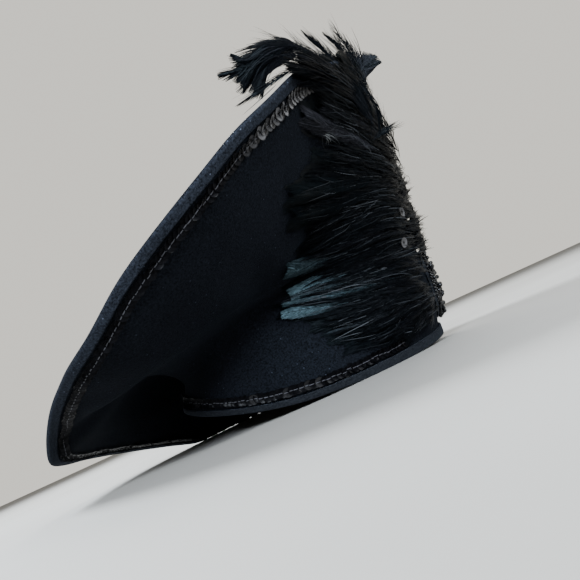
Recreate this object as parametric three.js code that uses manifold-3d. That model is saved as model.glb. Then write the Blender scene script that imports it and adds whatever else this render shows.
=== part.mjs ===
// Wide-brim felt hat: a close cap, a huge brim turned up at the wearer's right and in front,
// rows of overlapping sequins along both edges, and a spray of feathers over the front.
//
// Everything is modelled in the hat's own frame, in millimetres: the origin is the middle of the
// head oval, +X points to the wearer's front, +Y to the wearer's left and +Z out of the crown.
// An azimuth of 0 degrees is the front, 90 the wearer's right, 180 the back and 270 the left.
// At the end the whole hat is turned to the way it lies on a table by itself.

import * as THREE from 'three';
import { mergeVertices } from 'three/addons/utils/BufferGeometryUtils.js';
import Module from 'manifold-3d';

// Driving dimensions of the cap
const CAP_HALF_LENGTH = 101.0;
const CAP_HALF_WIDTH = 79.0;
const CAP_HEIGHT = 105.0;
const CAP_LEAN = 26.0;
const CAP_ROUNDNESS = 2.2;
const RIM_DIP_FRONT = -5.0;
const RIM_DIP_SIDE = -8.0;
const RIM_RISE_BACK = 4.0;

// Driving dimensions of the felt
const FELT_THICKNESS = 2.2;
const CAP_TO_BRIM_GAP = 0.8;
const SEAM_GAP = 0.9;
const HEM_EXTRA = 1.7;
const HEM_STARTS_AFTER_TRIM = 4.5;
const EDGE_AFTER_TRIM = 11.5;

// Driving dimensions of the sequin rows and the rim binding
const TRIM_WIDTH = 8.0;
const TRIM_THICKNESS = 1.0;
const TRIM_LIFT = 0.35;
const RIM_TRIM_FROM = 43;
const RIM_TRIM_TO = 318;
const BINDING_THICKNESS = 1.2;
const BINDING_DROP = 1.4;
const BINDING_HEIGHT_FRONT = 5.0;
const BINDING_HEIGHT_BACK = 1.6;

// Driving dimensions of the bead motif and the single drop sequins
const BEAD_MOTIF_HALF_WIDTH = 13;
const BEAD_MOTIF_MIDDLE = 34;
const BEAD_MOTIF_HALF_HEIGHT = 25;
const BEAD_MOTIF_DEPTH = 4.5;
const DROP_SEQUIN_RADIUS = 4.0;
const DROP_SEQUIN_THICKNESS = 0.8;

// How the hat lies on a table, on the rim at the right and the drooping brim at the left: turned
// about Y by the pitch and then about X by the roll, in degrees
const REST_ROLL = 6.49;
const REST_PITCH = 4.88;

// One row for each azimuth of the brim, all lengths in millimetres. The felt leaves the cap at
// the height called valley, runs through an inner and an outer point, and reaches the line of
// the sequin trim. edgeSlope is the angle in degrees at which the hem goes on from there, and
// softness is 1 where the outer point is a soft bend and near 0 at a crisp fold.
const BRIM_COLUMNS = [
  'azimuth', 'valley', 'innerRadius', 'innerHeight', 'outerRadius', 'outerHeight',
  'trimRadius', 'trimHeight', 'edgeSlope', 'softness',
];
const BRIM_ROWS = [
  [0, 45, 107, 85, 106, 125, 101, 168, 94, 1.0],
  [30, 52, 101, 90, 108, 130, 111, 176, 84, 1.0],
  [46, 56, 94, 88, 108, 128, 121, 179, 72, 1.0],
  [58, 58, 88, 85, 107, 121, 132, 176, 64, 1.0],
  [69, 60, 84, 82, 106, 113, 143, 171, 58, 1.0],
  [82.5, 61, 81, 72, 108, 92, 164, 150.5, 56, 0.8],
  [88.6, 61, 82, 69, 112, 86, 174, 139.5, 56, 0.7],
  [96, 60, 86, 69, 114, 80, 185, 122, 56, 0.6],
  [103, 59, 88, 66, 104, 68, 189, 107, 56, 0.45],
  [113, 55, 95, 62, 115, 59.5, 192.5, 86, 54, 0.4],
  [122, 50, 104, 56, 135, 50, 192, 66, 50, 0.4],
  [130, 46, 108, 51, 153, 43, 190.5, 54.5, 42, 0.4],
  [134.7, 42, 112, 48, 160, 39, 187.5, 49, 36, 0.4],
  [146.6, 33, 118, 42, 172, 32, 187, 32, 14, 0.5],
  [153.6, 28, 120, 40, 168, 31, 190, 21.5, -16, 0.8],
  [156, 26, 120, 40, 170, 23, 191, 12.5, -10, 1.0],
  [165, 22, 120, 39, 168, 13, 187, 4, -10, 1.0],
  [181.6, 18, 116, 37, 157, 6, 177, -6.5, -11, 1.0],
  [196, 18, 110, 34, 149, -3, 169, -18, -13, 1.0],
  [206, 19, 105, 31, 139, -9, 158, -27, -15, 1.0],
  [218, 21, 100, 28, 126, -14, 144, -37, -17, 1.0],
  [235, 23, 98, 22, 124, -18, 144, -38.2, -12, 1.0],
  [250, 25, 96, 22, 124, -18, 148, -38.6, -8, 1.0],
  [262, 27, 95, 26, 124, -12, 151, -37.8, -5, 1.0],
  [274, 30, 94, 34, 124, 2, 151, -34, 2, 1.0],
  [286, 34, 94, 46, 120, 26, 148, -16, 20, 1.0],
  [298, 38, 96, 60, 114, 60, 140, 34, 42, 1.0],
  [310, 41, 98, 72, 110, 92, 128, 90, 60, 1.0],
  [321, 43, 101, 80, 108, 112, 117, 132, 74, 1.0],
  [335, 45, 104, 83, 107, 121, 107, 157, 86, 1.0],
];

// Azimuths of the ribs that the walls are built on, closer together round the sharp back corner
const RIB_STEP = 6.5;
const CORNER_FROM = 148;
const CORNER_TO = 160;
const CORNER_STEP = 2;

const COLOURS = {
  felt: { color: 0x16181d, roughness: 0.95, metalness: 0.0 },
  hem: { color: 0x20242b, roughness: 0.95, metalness: 0.0 },
  sequin: { color: 0x0d0e10, roughness: 0.18, metalness: 0.1 },
  feather: { color: 0x0b1012, roughness: 0.45, metalness: 0.0 },
  bead: { color: 0x08090b, roughness: 0.12, metalness: 0.0 },
};

const radians = THREE.MathUtils.degToRad;
const rows = BRIM_ROWS.map(
  (values) => Object.fromEntries(values.map((value, index) => [BRIM_COLUMNS[index], value])),
);

// Slope at the middle of three points that is never steep enough to overshoot them
function calmSlope(before, middle, after, stepBefore, stepAfter) {
  const slopeBefore = (middle - before) / stepBefore;
  const slopeAfter = (after - middle) / stepAfter;
  if (slopeBefore * slopeAfter <= 0) {
    return 0;
  }
  const weightBefore = 2 * stepAfter + stepBefore;
  const weightAfter = stepAfter + 2 * stepBefore;
  return (weightBefore + weightAfter) / (weightBefore / slopeBefore + weightAfter / slopeAfter);
}

function hermite(from, to, slopeFrom, slopeTo, step, share) {
  const square = share * share;
  const cube = square * share;
  return (2 * cube - 3 * square + 1) * from
    + (cube - 2 * square + share) * step * slopeFrom
    + (3 * square - 2 * cube) * to
    + (cube - square) * step * slopeTo;
}

// Value of one column of the brim table at any azimuth, going round the hat without a seam
function brimValue(column, azimuth) {
  const count = rows.length;
  const turned = ((azimuth % 360) + 360) % 360;
  let index = rows.findLastIndex((row) => row.azimuth <= turned);
  index = index < 0 ? count - 1 : index;
  const at = (offset) => {
    const wrapped = (((index + offset) % count) + count) % count;
    const turns = Math.floor((index + offset) / count);
    return { place: rows[wrapped].azimuth + 360 * turns, value: rows[wrapped][column] };
  };
  const [before, from, to, after] = [at(-1), at(0), at(1), at(2)];
  const step = to.place - from.place;
  const slopeFrom = calmSlope(before.value, from.value, to.value, from.place - before.place, step);
  const slopeTo = calmSlope(from.value, to.value, after.value, step, after.place - to.place);
  return hermite(from.value, to.value, slopeFrom, slopeTo, step, (turned - from.place) / step);
}

// Height of the rim of the head opening
function rimHeight(azimuth) {
  const front = Math.cos(radians(azimuth));
  const side = Math.sin(radians(azimuth)) ** 2;
  const along = front > 0 ? RIM_DIP_FRONT : RIM_RISE_BACK;
  return along * front * front + RIM_DIP_SIDE * side;
}

// Radius of the cap's outer face at an azimuth and a height, offset outwards
function capRadius(azimuth, height, offset) {
  const share = Math.max(height, 0) / CAP_HEIGHT;
  const narrowing = Math.max(1 - share ** CAP_ROUNDNESS, 0) ** (1 / CAP_ROUNDNESS);
  const halfLength = CAP_HALF_LENGTH * narrowing + offset;
  const halfWidth = CAP_HALF_WIDTH * narrowing + offset;
  const middle = CAP_LEAN * share;
  const cosine = Math.cos(radians(azimuth));
  const sine = Math.sin(radians(azimuth));
  const square = (cosine / halfLength) ** 2 + (sine / halfWidth) ** 2;
  const linear = -2 * middle * cosine / halfLength ** 2;
  const constant = (middle / halfLength) ** 2 - 1;
  return (-linear + Math.sqrt(linear ** 2 - 4 * square * constant)) / (2 * square);
}

function polar(azimuth, radius, height) {
  const angle = radians(azimuth);
  return new THREE.Vector3(radius * Math.cos(angle), -radius * Math.sin(angle), height);
}

// Smooth curve through flat points [radius, height], sampled a number of times on each span
function smoothSection(points, samples, bends) {
  const distance = (from, to) => Math.hypot(to[0] - from[0], to[1] - from[1]);
  const spans = points.slice(1).map((point, index) => distance(points[index], point));
  const slopes = points.map((point, index) => {
    if (index === 0 || index === points.length - 1) {
      const inner = Math.min(index, points.length - 2);
      return [0, 1].map((axis) => (points[inner + 1][axis] - points[inner][axis]) / spans[inner]);
    }
    const [before, after] = [spans[index - 1], spans[index]];
    return [0, 1].map((axis) => {
      const slopeBefore = (point[axis] - points[index - 1][axis]) / before;
      const slopeAfter = (points[index + 1][axis] - point[axis]) / after;
      return bends[index] * (slopeBefore * after + slopeAfter * before) / (before + after);
    });
  });
  const curve = [];
  spans.forEach((span, index) => {
    for (let sample = 0; sample < samples[index]; sample += 1) {
      const share = sample / samples[index];
      curve.push([0, 1].map((axis) => hermite(
        points[index][axis], points[index + 1][axis],
        slopes[index][axis], slopes[index + 1][axis], span, share,
      )));
    }
  });
  curve.push(points[points.length - 1]);
  return curve;
}

// Middle line of the brim's felt at one azimuth, from the rim up the cap's side and out to the edge
const WALL_SAMPLES = 4;
const SECTION_SAMPLES = [3, 3, 4];
const HEM_PLACES = [HEM_STARTS_AFTER_TRIM, HEM_STARTS_AFTER_TRIM + 1.2, EDGE_AFTER_TRIM - 2];

function brimSection(azimuth) {
  const wallOffset = CAP_TO_BRIM_GAP + FELT_THICKNESS / 2;
  const low = rimHeight(azimuth);
  const valley = brimValue('valley', azimuth);
  const wall = [];
  for (let sample = 0; sample <= WALL_SAMPLES; sample += 1) {
    const height = low + (valley - low) * sample / WALL_SAMPLES;
    wall.push([capRadius(azimuth, height, wallOffset), height]);
  }
  const inner = [brimValue('innerRadius', azimuth), brimValue('innerHeight', azimuth)];
  const outer = [brimValue('outerRadius', azimuth), brimValue('outerHeight', azimuth)];
  const trim = [brimValue('trimRadius', azimuth), brimValue('trimHeight', azimuth)];
  const before = wall[WALL_SAMPLES - 1];
  const valleyPoint = wall[WALL_SAMPLES];
  const softness = brimValue('softness', azimuth);
  const slope = radians(brimValue('edgeSlope', azimuth));
  const beyondTrim = (place) => [
    trim[0] + Math.cos(slope) * place, trim[1] + Math.sin(slope) * place,
  ];
  const curve = smoothSection(
    [before, valleyPoint, inner, outer, trim, beyondTrim(EDGE_AFTER_TRIM)],
    [1, ...SECTION_SAMPLES, 1],
    [1, 1, 1, softness, 1, 1],
  );
  const hem = [...HEM_PLACES, EDGE_AFTER_TRIM].map(beyondTrim);
  return [...wall.slice(0, -1), ...curve.slice(1, -1), ...hem];
}

const TRIM_ROW = WALL_SAMPLES + SECTION_SAMPLES.reduce((total, count) => total + count, 0);

function ribAzimuths() {
  const list = [];
  for (let azimuth = 0; azimuth < 360 - RIB_STEP / 2; ) {
    list.push(azimuth);
    const inCorner = azimuth >= CORNER_FROM && azimuth < CORNER_TO;
    azimuth += inCorner ? CORNER_STEP : RIB_STEP;
  }
  return list;
}

// Unit normals of a closed ring of ribs, pointing to the face that shows outside the hat
function sheetNormals(sheet) {
  const count = sheet.length;
  return sheet.map((rib, index) => rib.map((point, row) => {
    const next = sheet[(index + 1) % count][row];
    const previous = sheet[(index + count - 1) % count][row];
    const above = rib[Math.min(row + 1, rib.length - 1)];
    const below = rib[Math.max(row - 1, 0)];
    const around = next.clone().sub(previous);
    const along = above.clone().sub(below);
    return along.cross(around).normalize();
  }));
}

// Closed body between two faces made of ribs. closed joins the last rib to the first.
function bodyBetween(front, back, closed) {
  const positions = [];
  const ribCount = front.length;
  const rowCount = front[0].length;
  const add = (...corners) => corners.forEach((corner) => positions.push(...corner.toArray()));
  const quad = (first, second, third, fourth) => {
    add(first, second, third);
    add(first, third, fourth);
  };
  const spans = closed ? ribCount : ribCount - 1;
  for (let rib = 0; rib < spans; rib += 1) {
    const next = (rib + 1) % ribCount;
    for (let row = 0; row < rowCount - 1; row += 1) {
      quad(front[rib][row], front[next][row], front[next][row + 1], front[rib][row + 1]);
      quad(back[rib][row], back[rib][row + 1], back[next][row + 1], back[next][row]);
    }
    const top = rowCount - 1;
    quad(front[rib][0], back[rib][0], back[next][0], front[next][0]);
    quad(front[rib][top], front[next][top], back[next][top], back[rib][top]);
  }
  if (!closed) {
    [[0, false], [ribCount - 1, true]].forEach(([rib, flipped]) => {
      for (let row = 0; row < rowCount - 1; row += 1) {
        const corners = [front[rib][row], front[rib][row + 1], back[rib][row + 1], back[rib][row]];
        quad(...(flipped ? corners.reverse() : corners));
      }
    });
  }
  return closedGeometry(positions);
}

// Shared vertices merged, and the faces turned so that they point out
function closedGeometry(positions) {
  const loose = new THREE.BufferGeometry();
  loose.setAttribute('position', new THREE.Float32BufferAttribute(positions, 3));
  const geometry = mergeVertices(loose, 1e-4);
  const index = geometry.getIndex();
  const place = geometry.getAttribute('position');
  const corner = (number) => new THREE.Vector3().fromBufferAttribute(place, index.getX(number));
  let volume = 0;
  for (let number = 0; number < index.count; number += 3) {
    volume += corner(number).dot(corner(number + 1).cross(corner(number + 2)));
  }
  if (volume < 0) {
    for (let number = 0; number < index.count; number += 3) {
      const swapped = index.getX(number + 1);
      index.setX(number + 1, index.getX(number + 2));
      index.setX(number + 2, swapped);
    }
  }
  geometry.computeVertexNormals();
  return geometry;
}

const azimuths = ribAzimuths();
const brimSheet = azimuths.map(
  (azimuth) => brimSection(azimuth).map(([radius, height]) => polar(azimuth, radius, height)),
);
const brimNormals = sheetNormals(brimSheet);
const shifted = (point, normal, distance) => point.clone().addScaledVector(normal, distance);

function makeBrim() {
  const half = FELT_THICKNESS / 2;
  const last = brimSheet[0].length - 1;
  const outside = (row) => {
    if (row === last) {
      return half * 0.6;
    }
    return row > TRIM_ROW + 1 ? half + HEM_EXTRA : half;
  };
  const inside = (row) => (row === last ? half * 0.6 : half);
  const front = brimSheet.map((rib, number) => rib.map(
    (point, row) => shifted(point, brimNormals[number][row], outside(row)),
  ));
  const back = brimSheet.map((rib, number) => rib.map(
    (point, row) => shifted(point, brimNormals[number][row], -inside(row)),
  ));
  return bodyBetween(front, back, true);
}

// The cap is one dome with a wall down to the rim; its apex is one shared point on each face
const CAP_LEVELS = 9;
function capRib(azimuth, offset) {
  const low = rimHeight(azimuth);
  const angle = Math.atan2(
    Math.sin(radians(azimuth)) / (CAP_HALF_WIDTH + offset),
    Math.cos(radians(azimuth)) / (CAP_HALF_LENGTH + offset),
  );
  const top = CAP_HEIGHT + offset;
  const rib = [];
  for (let level = 0; level < CAP_LEVELS; level += 1) {
    const height = low + (top - low) * Math.sin((level / CAP_LEVELS) * Math.PI / 2);
    const share = Math.max(height, 0) / top;
    const narrowing = (1 - share ** CAP_ROUNDNESS) ** (1 / CAP_ROUNDNESS);
    rib.push(new THREE.Vector3(
      CAP_LEAN * share + (CAP_HALF_LENGTH + offset) * narrowing * Math.cos(angle),
      -(CAP_HALF_WIDTH + offset) * narrowing * Math.sin(angle),
      height,
    ));
  }
  return rib;
}

function makeCrown() {
  const positions = [];
  const outer = azimuths.map((azimuth) => capRib(azimuth, 0));
  const inner = azimuths.map((azimuth) => capRib(azimuth, -FELT_THICKNESS));
  const topOuter = new THREE.Vector3(CAP_LEAN, 0, CAP_HEIGHT);
  const topInner = new THREE.Vector3(CAP_LEAN, 0, CAP_HEIGHT - FELT_THICKNESS);
  const add = (...corners) => corners.forEach((corner) => positions.push(...corner.toArray()));
  const count = azimuths.length;
  const last = CAP_LEVELS - 1;
  for (let rib = 0; rib < count; rib += 1) {
    const next = (rib + 1) % count;
    for (let level = 0; level < last; level += 1) {
      add(outer[rib][level], outer[rib][level + 1], outer[next][level + 1]);
      add(outer[rib][level], outer[next][level + 1], outer[next][level]);
      add(inner[rib][level], inner[next][level + 1], inner[rib][level + 1]);
      add(inner[rib][level], inner[next][level], inner[next][level + 1]);
    }
    add(outer[rib][last], topOuter, outer[next][last]);
    add(inner[rib][last], inner[next][last], topInner);
    add(outer[rib][0], outer[next][0], inner[next][0]);
    add(outer[rib][0], inner[next][0], inner[rib][0]);
  }
  return closedGeometry(positions);
}

// Place on the outer face of the brim and cap wall: azimuth in degrees, the distance up the felt
// from the rim in millimetres, and the lift off the face
function felt(azimuth, distance, lift) {
  const rib = brimSection(azimuth);
  const near = brimSection(azimuth + 1);
  const lengths = [0];
  for (let row = 1; row < rib.length; row += 1) {
    const step = Math.hypot(rib[row][0] - rib[row - 1][0], rib[row][1] - rib[row - 1][1]);
    lengths.push(lengths[row - 1] + step);
  }
  const wanted = Math.min(Math.max(distance, 0), lengths[lengths.length - 1]);
  const row = Math.max(lengths.findIndex((length) => length >= wanted), 1);
  const share = (wanted - lengths[row - 1]) / (lengths[row] - lengths[row - 1]);
  const place = (section, angle) => polar(
    angle,
    section[row - 1][0] + (section[row][0] - section[row - 1][0]) * share,
    section[row - 1][1] + (section[row][1] - section[row - 1][1]) * share,
  );
  const point = place(rib, azimuth);
  const along = polar(azimuth, ...rib[row]).sub(polar(azimuth, ...rib[row - 1]));
  const around = place(near, azimuth + 1).sub(point);
  const normal = along.cross(around).normalize();
  return { point: shifted(point, normal, FELT_THICKNESS / 2 + lift), normal };
}

// Distance up the felt from the rim to the trim line
function trimDistance(azimuth) {
  const rib = brimSection(azimuth).slice(0, TRIM_ROW + 1);
  return rib.slice(1).reduce(
    (total, point, index) => total + Math.hypot(point[0] - rib[index][0], point[1] - rib[index][1]),
    0,
  );
}

// Height of the rim binding's upright side
function bindingHeight(azimuth) {
  const frontShare = (1 + Math.cos(radians(azimuth))) / 2;
  return BINDING_HEIGHT_BACK + (BINDING_HEIGHT_FRONT - BINDING_HEIGHT_BACK) * frontShare ** 2;
}

// Narrow binding that wraps the rim from below, taller at the front
function makeRimBinding() {
  const wallOutside = CAP_TO_BRIM_GAP + FELT_THICKNESS;
  const outside = wallOutside + SEAM_GAP + BINDING_THICKNESS;
  const ribs = azimuths.map((azimuth) => {
    const low = rimHeight(azimuth);
    const top = low + bindingHeight(azimuth);
    const at = (height, offset) => polar(
      azimuth, capRadius(azimuth, Math.max(height, low), offset), height,
    );
    return [
      at(low - SEAM_GAP, -FELT_THICKNESS),
      at(low - SEAM_GAP, wallOutside + SEAM_GAP),
      at(top, wallOutside + SEAM_GAP),
      at(top, outside),
      at(low - BINDING_DROP, outside),
      at(low - SEAM_GAP - BINDING_DROP, outside - BINDING_THICKNESS),
      at(low - SEAM_GAP - BINDING_DROP, -FELT_THICKNESS),
    ];
  });
  const positions = [];
  const count = ribs.length;
  const sides = ribs[0].length;
  const add = (...corners) => corners.forEach((corner) => positions.push(...corner.toArray()));
  for (let rib = 0; rib < count; rib += 1) {
    const next = (rib + 1) % count;
    for (let side = 0; side < sides; side += 1) {
      const other = (side + 1) % sides;
      add(ribs[rib][side], ribs[next][side], ribs[next][other]);
      add(ribs[rib][side], ribs[next][other], ribs[rib][other]);
    }
  }
  return closedGeometry(positions);
}

// Flat band on the felt's outer face, centred at a distance from the rim that can change round it
function makeBand(angles, across, middle, closed) {
  const face = (lift) => angles.map((azimuth) => across.map(
    (offset) => felt(azimuth, middle(azimuth) + offset, lift).point,
  ));
  return bodyBetween(face(TRIM_LIFT + TRIM_THICKNESS), face(TRIM_LIFT), closed);
}

function makeBrimTrim() {
  const across = [-TRIM_WIDTH / 2, 0, TRIM_WIDTH / 2];
  return makeBand(azimuths, across, trimDistance, true);
}

function makeRimTrim() {
  const angles = azimuths.filter((azimuth) => azimuth >= RIM_TRIM_FROM && azimuth <= RIM_TRIM_TO);
  const middle = (azimuth) => bindingHeight(azimuth) + SEAM_GAP + TRIM_WIDTH / 2;
  return makeBand(angles, [-TRIM_WIDTH / 2, TRIM_WIDTH / 2], middle, false);
}

// Oval domed motif of beads at the front, over the wearer's forehead
const MOTIF_COLUMNS = 6;
const MOTIF_ROWS = 8;
function makeBeadMotif() {
  const face = (isFront) => Array.from({ length: MOTIF_COLUMNS + 1 }, (_, column) => {
    const sideways = (column / MOTIF_COLUMNS) * 2 - 1;
    return Array.from({ length: MOTIF_ROWS + 1 }, (__, row) => {
      const upwards = (row / MOTIF_ROWS) * 2 - 1;
      const narrowing = Math.sqrt(1 - (upwards * 0.93) ** 2);
      const dome = (1 - sideways ** 2) * (1 - upwards ** 2);
      const lift = isFront ? TRIM_THICKNESS + BEAD_MOTIF_DEPTH * Math.sqrt(dome) : 0;
      return felt(
        sideways * narrowing * BEAD_MOTIF_HALF_WIDTH,
        BEAD_MOTIF_MIDDLE + upwards * BEAD_MOTIF_HALF_HEIGHT,
        TRIM_LIFT + lift,
      ).point;
    });
  });
  return bodyBetween(face(true), face(false), false);
}

// One lock of plumage: a flat leaf along a smooth path, widest near its middle and pointed
const LEAF_SECTIONS = 7;
const LEAF_WIDTHS = [0.35, 0.75, 1.0, 1.0, 0.85, 0.55, 0.12];
const LEAF_THICKNESS = 2.4;

function makeLeaf(points, facing, halfWidth) {
  const path = new THREE.CatmullRomCurve3(points);
  const sections = Array.from({ length: LEAF_SECTIONS }, (_, index) => {
    const share = index / (LEAF_SECTIONS - 1);
    const centre = path.getPoint(share);
    const forward = path.getTangent(share);
    const side = forward.clone().cross(facing(share)).normalize();
    const up = side.clone().cross(forward).normalize();
    const width = halfWidth * LEAF_WIDTHS[index];
    const thick = LEAF_THICKNESS / 2 * Math.min(LEAF_WIDTHS[index] + 0.2, 1);
    return [
      shifted(centre, side, width), shifted(centre, up, thick),
      shifted(centre, side, -width), shifted(centre, up, -thick),
    ];
  });
  const positions = [];
  const add = (...corners) => corners.forEach((corner) => positions.push(...corner.toArray()));
  for (let index = 0; index < LEAF_SECTIONS - 1; index += 1) {
    for (let side = 0; side < 4; side += 1) {
      const other = (side + 1) % 4;
      add(sections[index][side], sections[index + 1][side], sections[index + 1][other]);
      add(sections[index][side], sections[index + 1][other], sections[index][other]);
    }
  }
  const [start, finish] = [sections[0], sections[LEAF_SECTIONS - 1]];
  add(start[0], start[1], start[2]);
  add(start[0], start[2], start[3]);
  add(finish[2], finish[1], finish[0]);
  add(finish[3], finish[2], finish[0]);
  return closedGeometry(positions);
}

// Joins closed geometries into one body
const wasm = await Module();
wasm.setup();

function fused(geometries) {
  const solids = geometries.map((geometry) => new wasm.Manifold(new wasm.Mesh({
    numProp: 3,
    vertProperties: new Float32Array(geometry.getAttribute('position').array),
    triVerts: new Uint32Array(geometry.getIndex().array),
  })));
  const mesh = solids.slice(1).reduce((whole, solid) => whole.add(solid), solids[0]).getMesh();
  const positions = [];
  mesh.triVerts.forEach((vertex) => {
    positions.push(...mesh.vertProperties.slice(vertex * mesh.numProp, vertex * mesh.numProp + 3));
  });
  return closedGeometry(positions);
}

// Backing that the quills are sewn to, on the felt between two azimuths and two distances
function makeBacking(fromAzimuth, toAzimuth, fromDistance, toDistance, lift, thickness, rowsAlong) {
  const columns = 4;
  const face = (height) => Array.from({ length: columns + 1 }, (_, column) => {
    const azimuth = fromAzimuth + (toAzimuth - fromAzimuth) * column / columns;
    return Array.from({ length: rowsAlong + 1 }, (__, row) => felt(
      azimuth, fromDistance + (toDistance - fromDistance) * row / rowsAlong, height,
    ).point);
  });
  return bodyBetween(face(lift + thickness), face(lift), false);
}

// Locks of the side plumage, one row each: where the quill starts and ends on the felt, the half
// width of the lock and how far it stands off the felt, in degrees and millimetres
const SIDE_LOCK_COLUMNS = [
  'rootAzimuth', 'rootDistance', 'tipAzimuth', 'tipDistance', 'halfWidth', 'lift',
];
const SIDE_LOCKS = [
  [20, 36, 56, 22, 5, 3.2],
  [20, 46, 70, 30, 7, 3.4],
  [20, 56, 78, 46, 9, 4.0],
  [20, 68, 82, 62, 9, 4.4],
  [20, 80, 83, 78, 9, 4.6],
  [20, 92, 82, 94, 9, 4.6],
  [20, 104, 80, 110, 9, 4.6],
  [20, 116, 78, 126, 9, 4.6],
  [20, 128, 76, 141, 9, 4.6],
  [20, 140, 74, 156, 9, 4.6],
  [20, 152, 72, 170, 9, 5.0],
  [20, 157, 70, 184, 6, 5.4],
  [19, 70, -16, 84, 8, 4.2],
  [19, 92, -17, 104, 8, 4.2],
  [19, 114, -16, 128, 8, 4.2],
  [19, 134, -14, 142, 7, 4.2],
  [19, 150, -10, 156, 6, 4.6],
];
const LOCK_BOW = 2.5;
const SIDE_BACKING = { from: 14, to: 25, low: 30, high: 162, lift: 0.6, thickness: 4.2 };

function makeSidePlumage() {
  const locks = SIDE_LOCKS.map((values) => {
    const lock = Object.fromEntries(values.map((value, index) => [SIDE_LOCK_COLUMNS[index], value]));
    const at = (share) => felt(
      lock.rootAzimuth + (lock.tipAzimuth - lock.rootAzimuth) * share,
      lock.rootDistance + (lock.tipDistance - lock.rootDistance) * share,
      lock.lift + LOCK_BOW * Math.sin(Math.PI * share),
    );
    const points = [0, 0.25, 0.5, 0.75, 1].map((share) => at(share).point);
    return makeLeaf(points, (share) => at(share).normal, lock.halfWidth);
  });
  const { from, to, low, high, lift, thickness } = SIDE_BACKING;
  return fused([makeBacking(from, to, low, high, lift, thickness, 12), ...locks]);
}

// Feathers of the top plume. Each starts in the backing at a distance of 18 mm below the edge,
// at the azimuth given, rises over the edge where over is true, and runs through its points.
const TOP_FEATHERS = [
  { azimuth: 34, over: true, halfWidth: 11, points: [[73, -56, 211], [59, -52, 224], [41, -48, 224], [22, -46, 214]] },
  { azimuth: 40, over: true, halfWidth: 5, points: [[64, -62, 207], [41, -57, 213], [14, -54, 219]] },
  { azimuth: 46, over: true, halfWidth: 6, points: [[62, -70, 201], [44, -68, 200], [29, -66, 193]] },
  { azimuth: 44, over: true, halfWidth: 5, points: [[76, -74, 204], [66, -76, 216], [53, -74, 223]] },
  { azimuth: 38, over: true, halfWidth: 4, points: [[85, -62, 202], [80, -62, 213], [71, -62, 224]] },
  { azimuth: 30, over: true, halfWidth: 4, points: [[96, -48, 202], [94, -48, 213], [89, -48, 224]] },
  { azimuth: 24, over: true, halfWidth: 4, points: [[103, -36, 202], [105, -34, 216], [101, -34, 225]] },
  { azimuth: 18, over: false, halfWidth: 9, points: [[112, -18, 189], [120, -14, 202], [129, -12, 212]] },
  { azimuth: 26, over: false, halfWidth: 2.5, points: [[110, -46, 176], [113, -48, 162], [111, -50, 147]] },
];
const PLUME_BACKING = { from: 14, to: 54, above: 24, below: 8, lift: 1.8, thickness: 4.6 };
const PLUME_ROOT_BELOW_EDGE = 18;
const PLUME_RISE = new THREE.Vector3(0, 0, 8);

function feltLength(azimuth) {
  return trimDistance(azimuth) + EDGE_AFTER_TRIM;
}

function makeTopPlume() {
  const { from, to, above, below, lift, thickness } = PLUME_BACKING;
  const columns = 8;
  const face = (height) => Array.from({ length: columns + 1 }, (_, column) => {
    const azimuth = from + (to - from) * column / columns;
    const length = feltLength(azimuth);
    return [above, (above + below) / 2, below].map(
      (place) => felt(azimuth, length - place, height).point,
    );
  });
  const backing = bodyBetween(face(lift + thickness), face(lift), false);
  const feathers = TOP_FEATHERS.map(({ azimuth, over, halfWidth, points }) => {
    const length = feltLength(azimuth);
    const root = felt(azimuth, length - PLUME_ROOT_BELOW_EDGE, lift + thickness / 2);
    const crossing = felt(azimuth, length, lift + thickness).point.add(PLUME_RISE);
    const free = points.map((point) => new THREE.Vector3(...point));
    const path = [root.point, ...(over ? [crossing] : []), ...free];
    const sideways = new THREE.Vector3(0.15, -1, 0.1);
    return makeLeaf(path, (share) => root.normal.clone().lerp(sideways, share), halfWidth);
  });
  return fused([backing, ...feathers]);
}

// Single sequins that hang among the feathers, facing the wearer's right
const DROP_SEQUINS = [
  { name: 'drop_sequin_upper', azimuth: 27, distance: 96, lift: 6.6 },
  { name: 'drop_sequin_lower', azimuth: 29, distance: 75, lift: 7.2 },
];

function makeDropSequin({ name, azimuth, distance, lift }) {
  const sides = 12;
  const disc = new THREE.CylinderGeometry(
    DROP_SEQUIN_RADIUS, DROP_SEQUIN_RADIUS, DROP_SEQUIN_THICKNESS, sides,
  );
  const positions = disc.toNonIndexed().getAttribute('position').array;
  const mesh = makeMesh(name, closedGeometry(Array.from(positions)), 'sequin');
  const { point, normal } = felt(azimuth, distance, lift);
  mesh.position.copy(point);
  mesh.quaternion.setFromUnitVectors(new THREE.Vector3(0, 1, 0), normal);
  return mesh;
}

function makeMesh(name, geometry, look) {
  const mesh = new THREE.Mesh(geometry, new THREE.MeshStandardMaterial(COLOURS[look]));
  mesh.name = name;
  return mesh;
}

const hat = new THREE.Group();
hat.add(makeMesh('crown', makeCrown(), 'felt'));
hat.add(makeMesh('brim', makeBrim(), 'felt'));
hat.add(makeMesh('rim_binding', makeRimBinding(), 'hem'));
hat.add(makeMesh('brim_sequin_trim', makeBrimTrim(), 'sequin'));
hat.add(makeMesh('rim_sequin_trim', makeRimTrim(), 'sequin'));
hat.add(makeMesh('bead_motif', makeBeadMotif(), 'bead'));
hat.add(makeMesh('side_plumage', makeSidePlumage(), 'feather'));
hat.add(makeMesh('top_plume', makeTopPlume(), 'feather'));
DROP_SEQUINS.forEach((drop) => hat.add(makeDropSequin(drop)));

// Turned to rest, with the middle of the base of its bounding box at the origin
hat.rotation.set(radians(REST_ROLL), radians(REST_PITCH), 0, 'XYZ');
const bounds = new THREE.Box3().setFromObject(hat, true);
const middle = bounds.getCenter(new THREE.Vector3());
hat.position.set(-middle.x, -middle.y, -bounds.min.z);

export default hat;
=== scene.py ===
import math
import random
from collections import namedtuple

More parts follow.
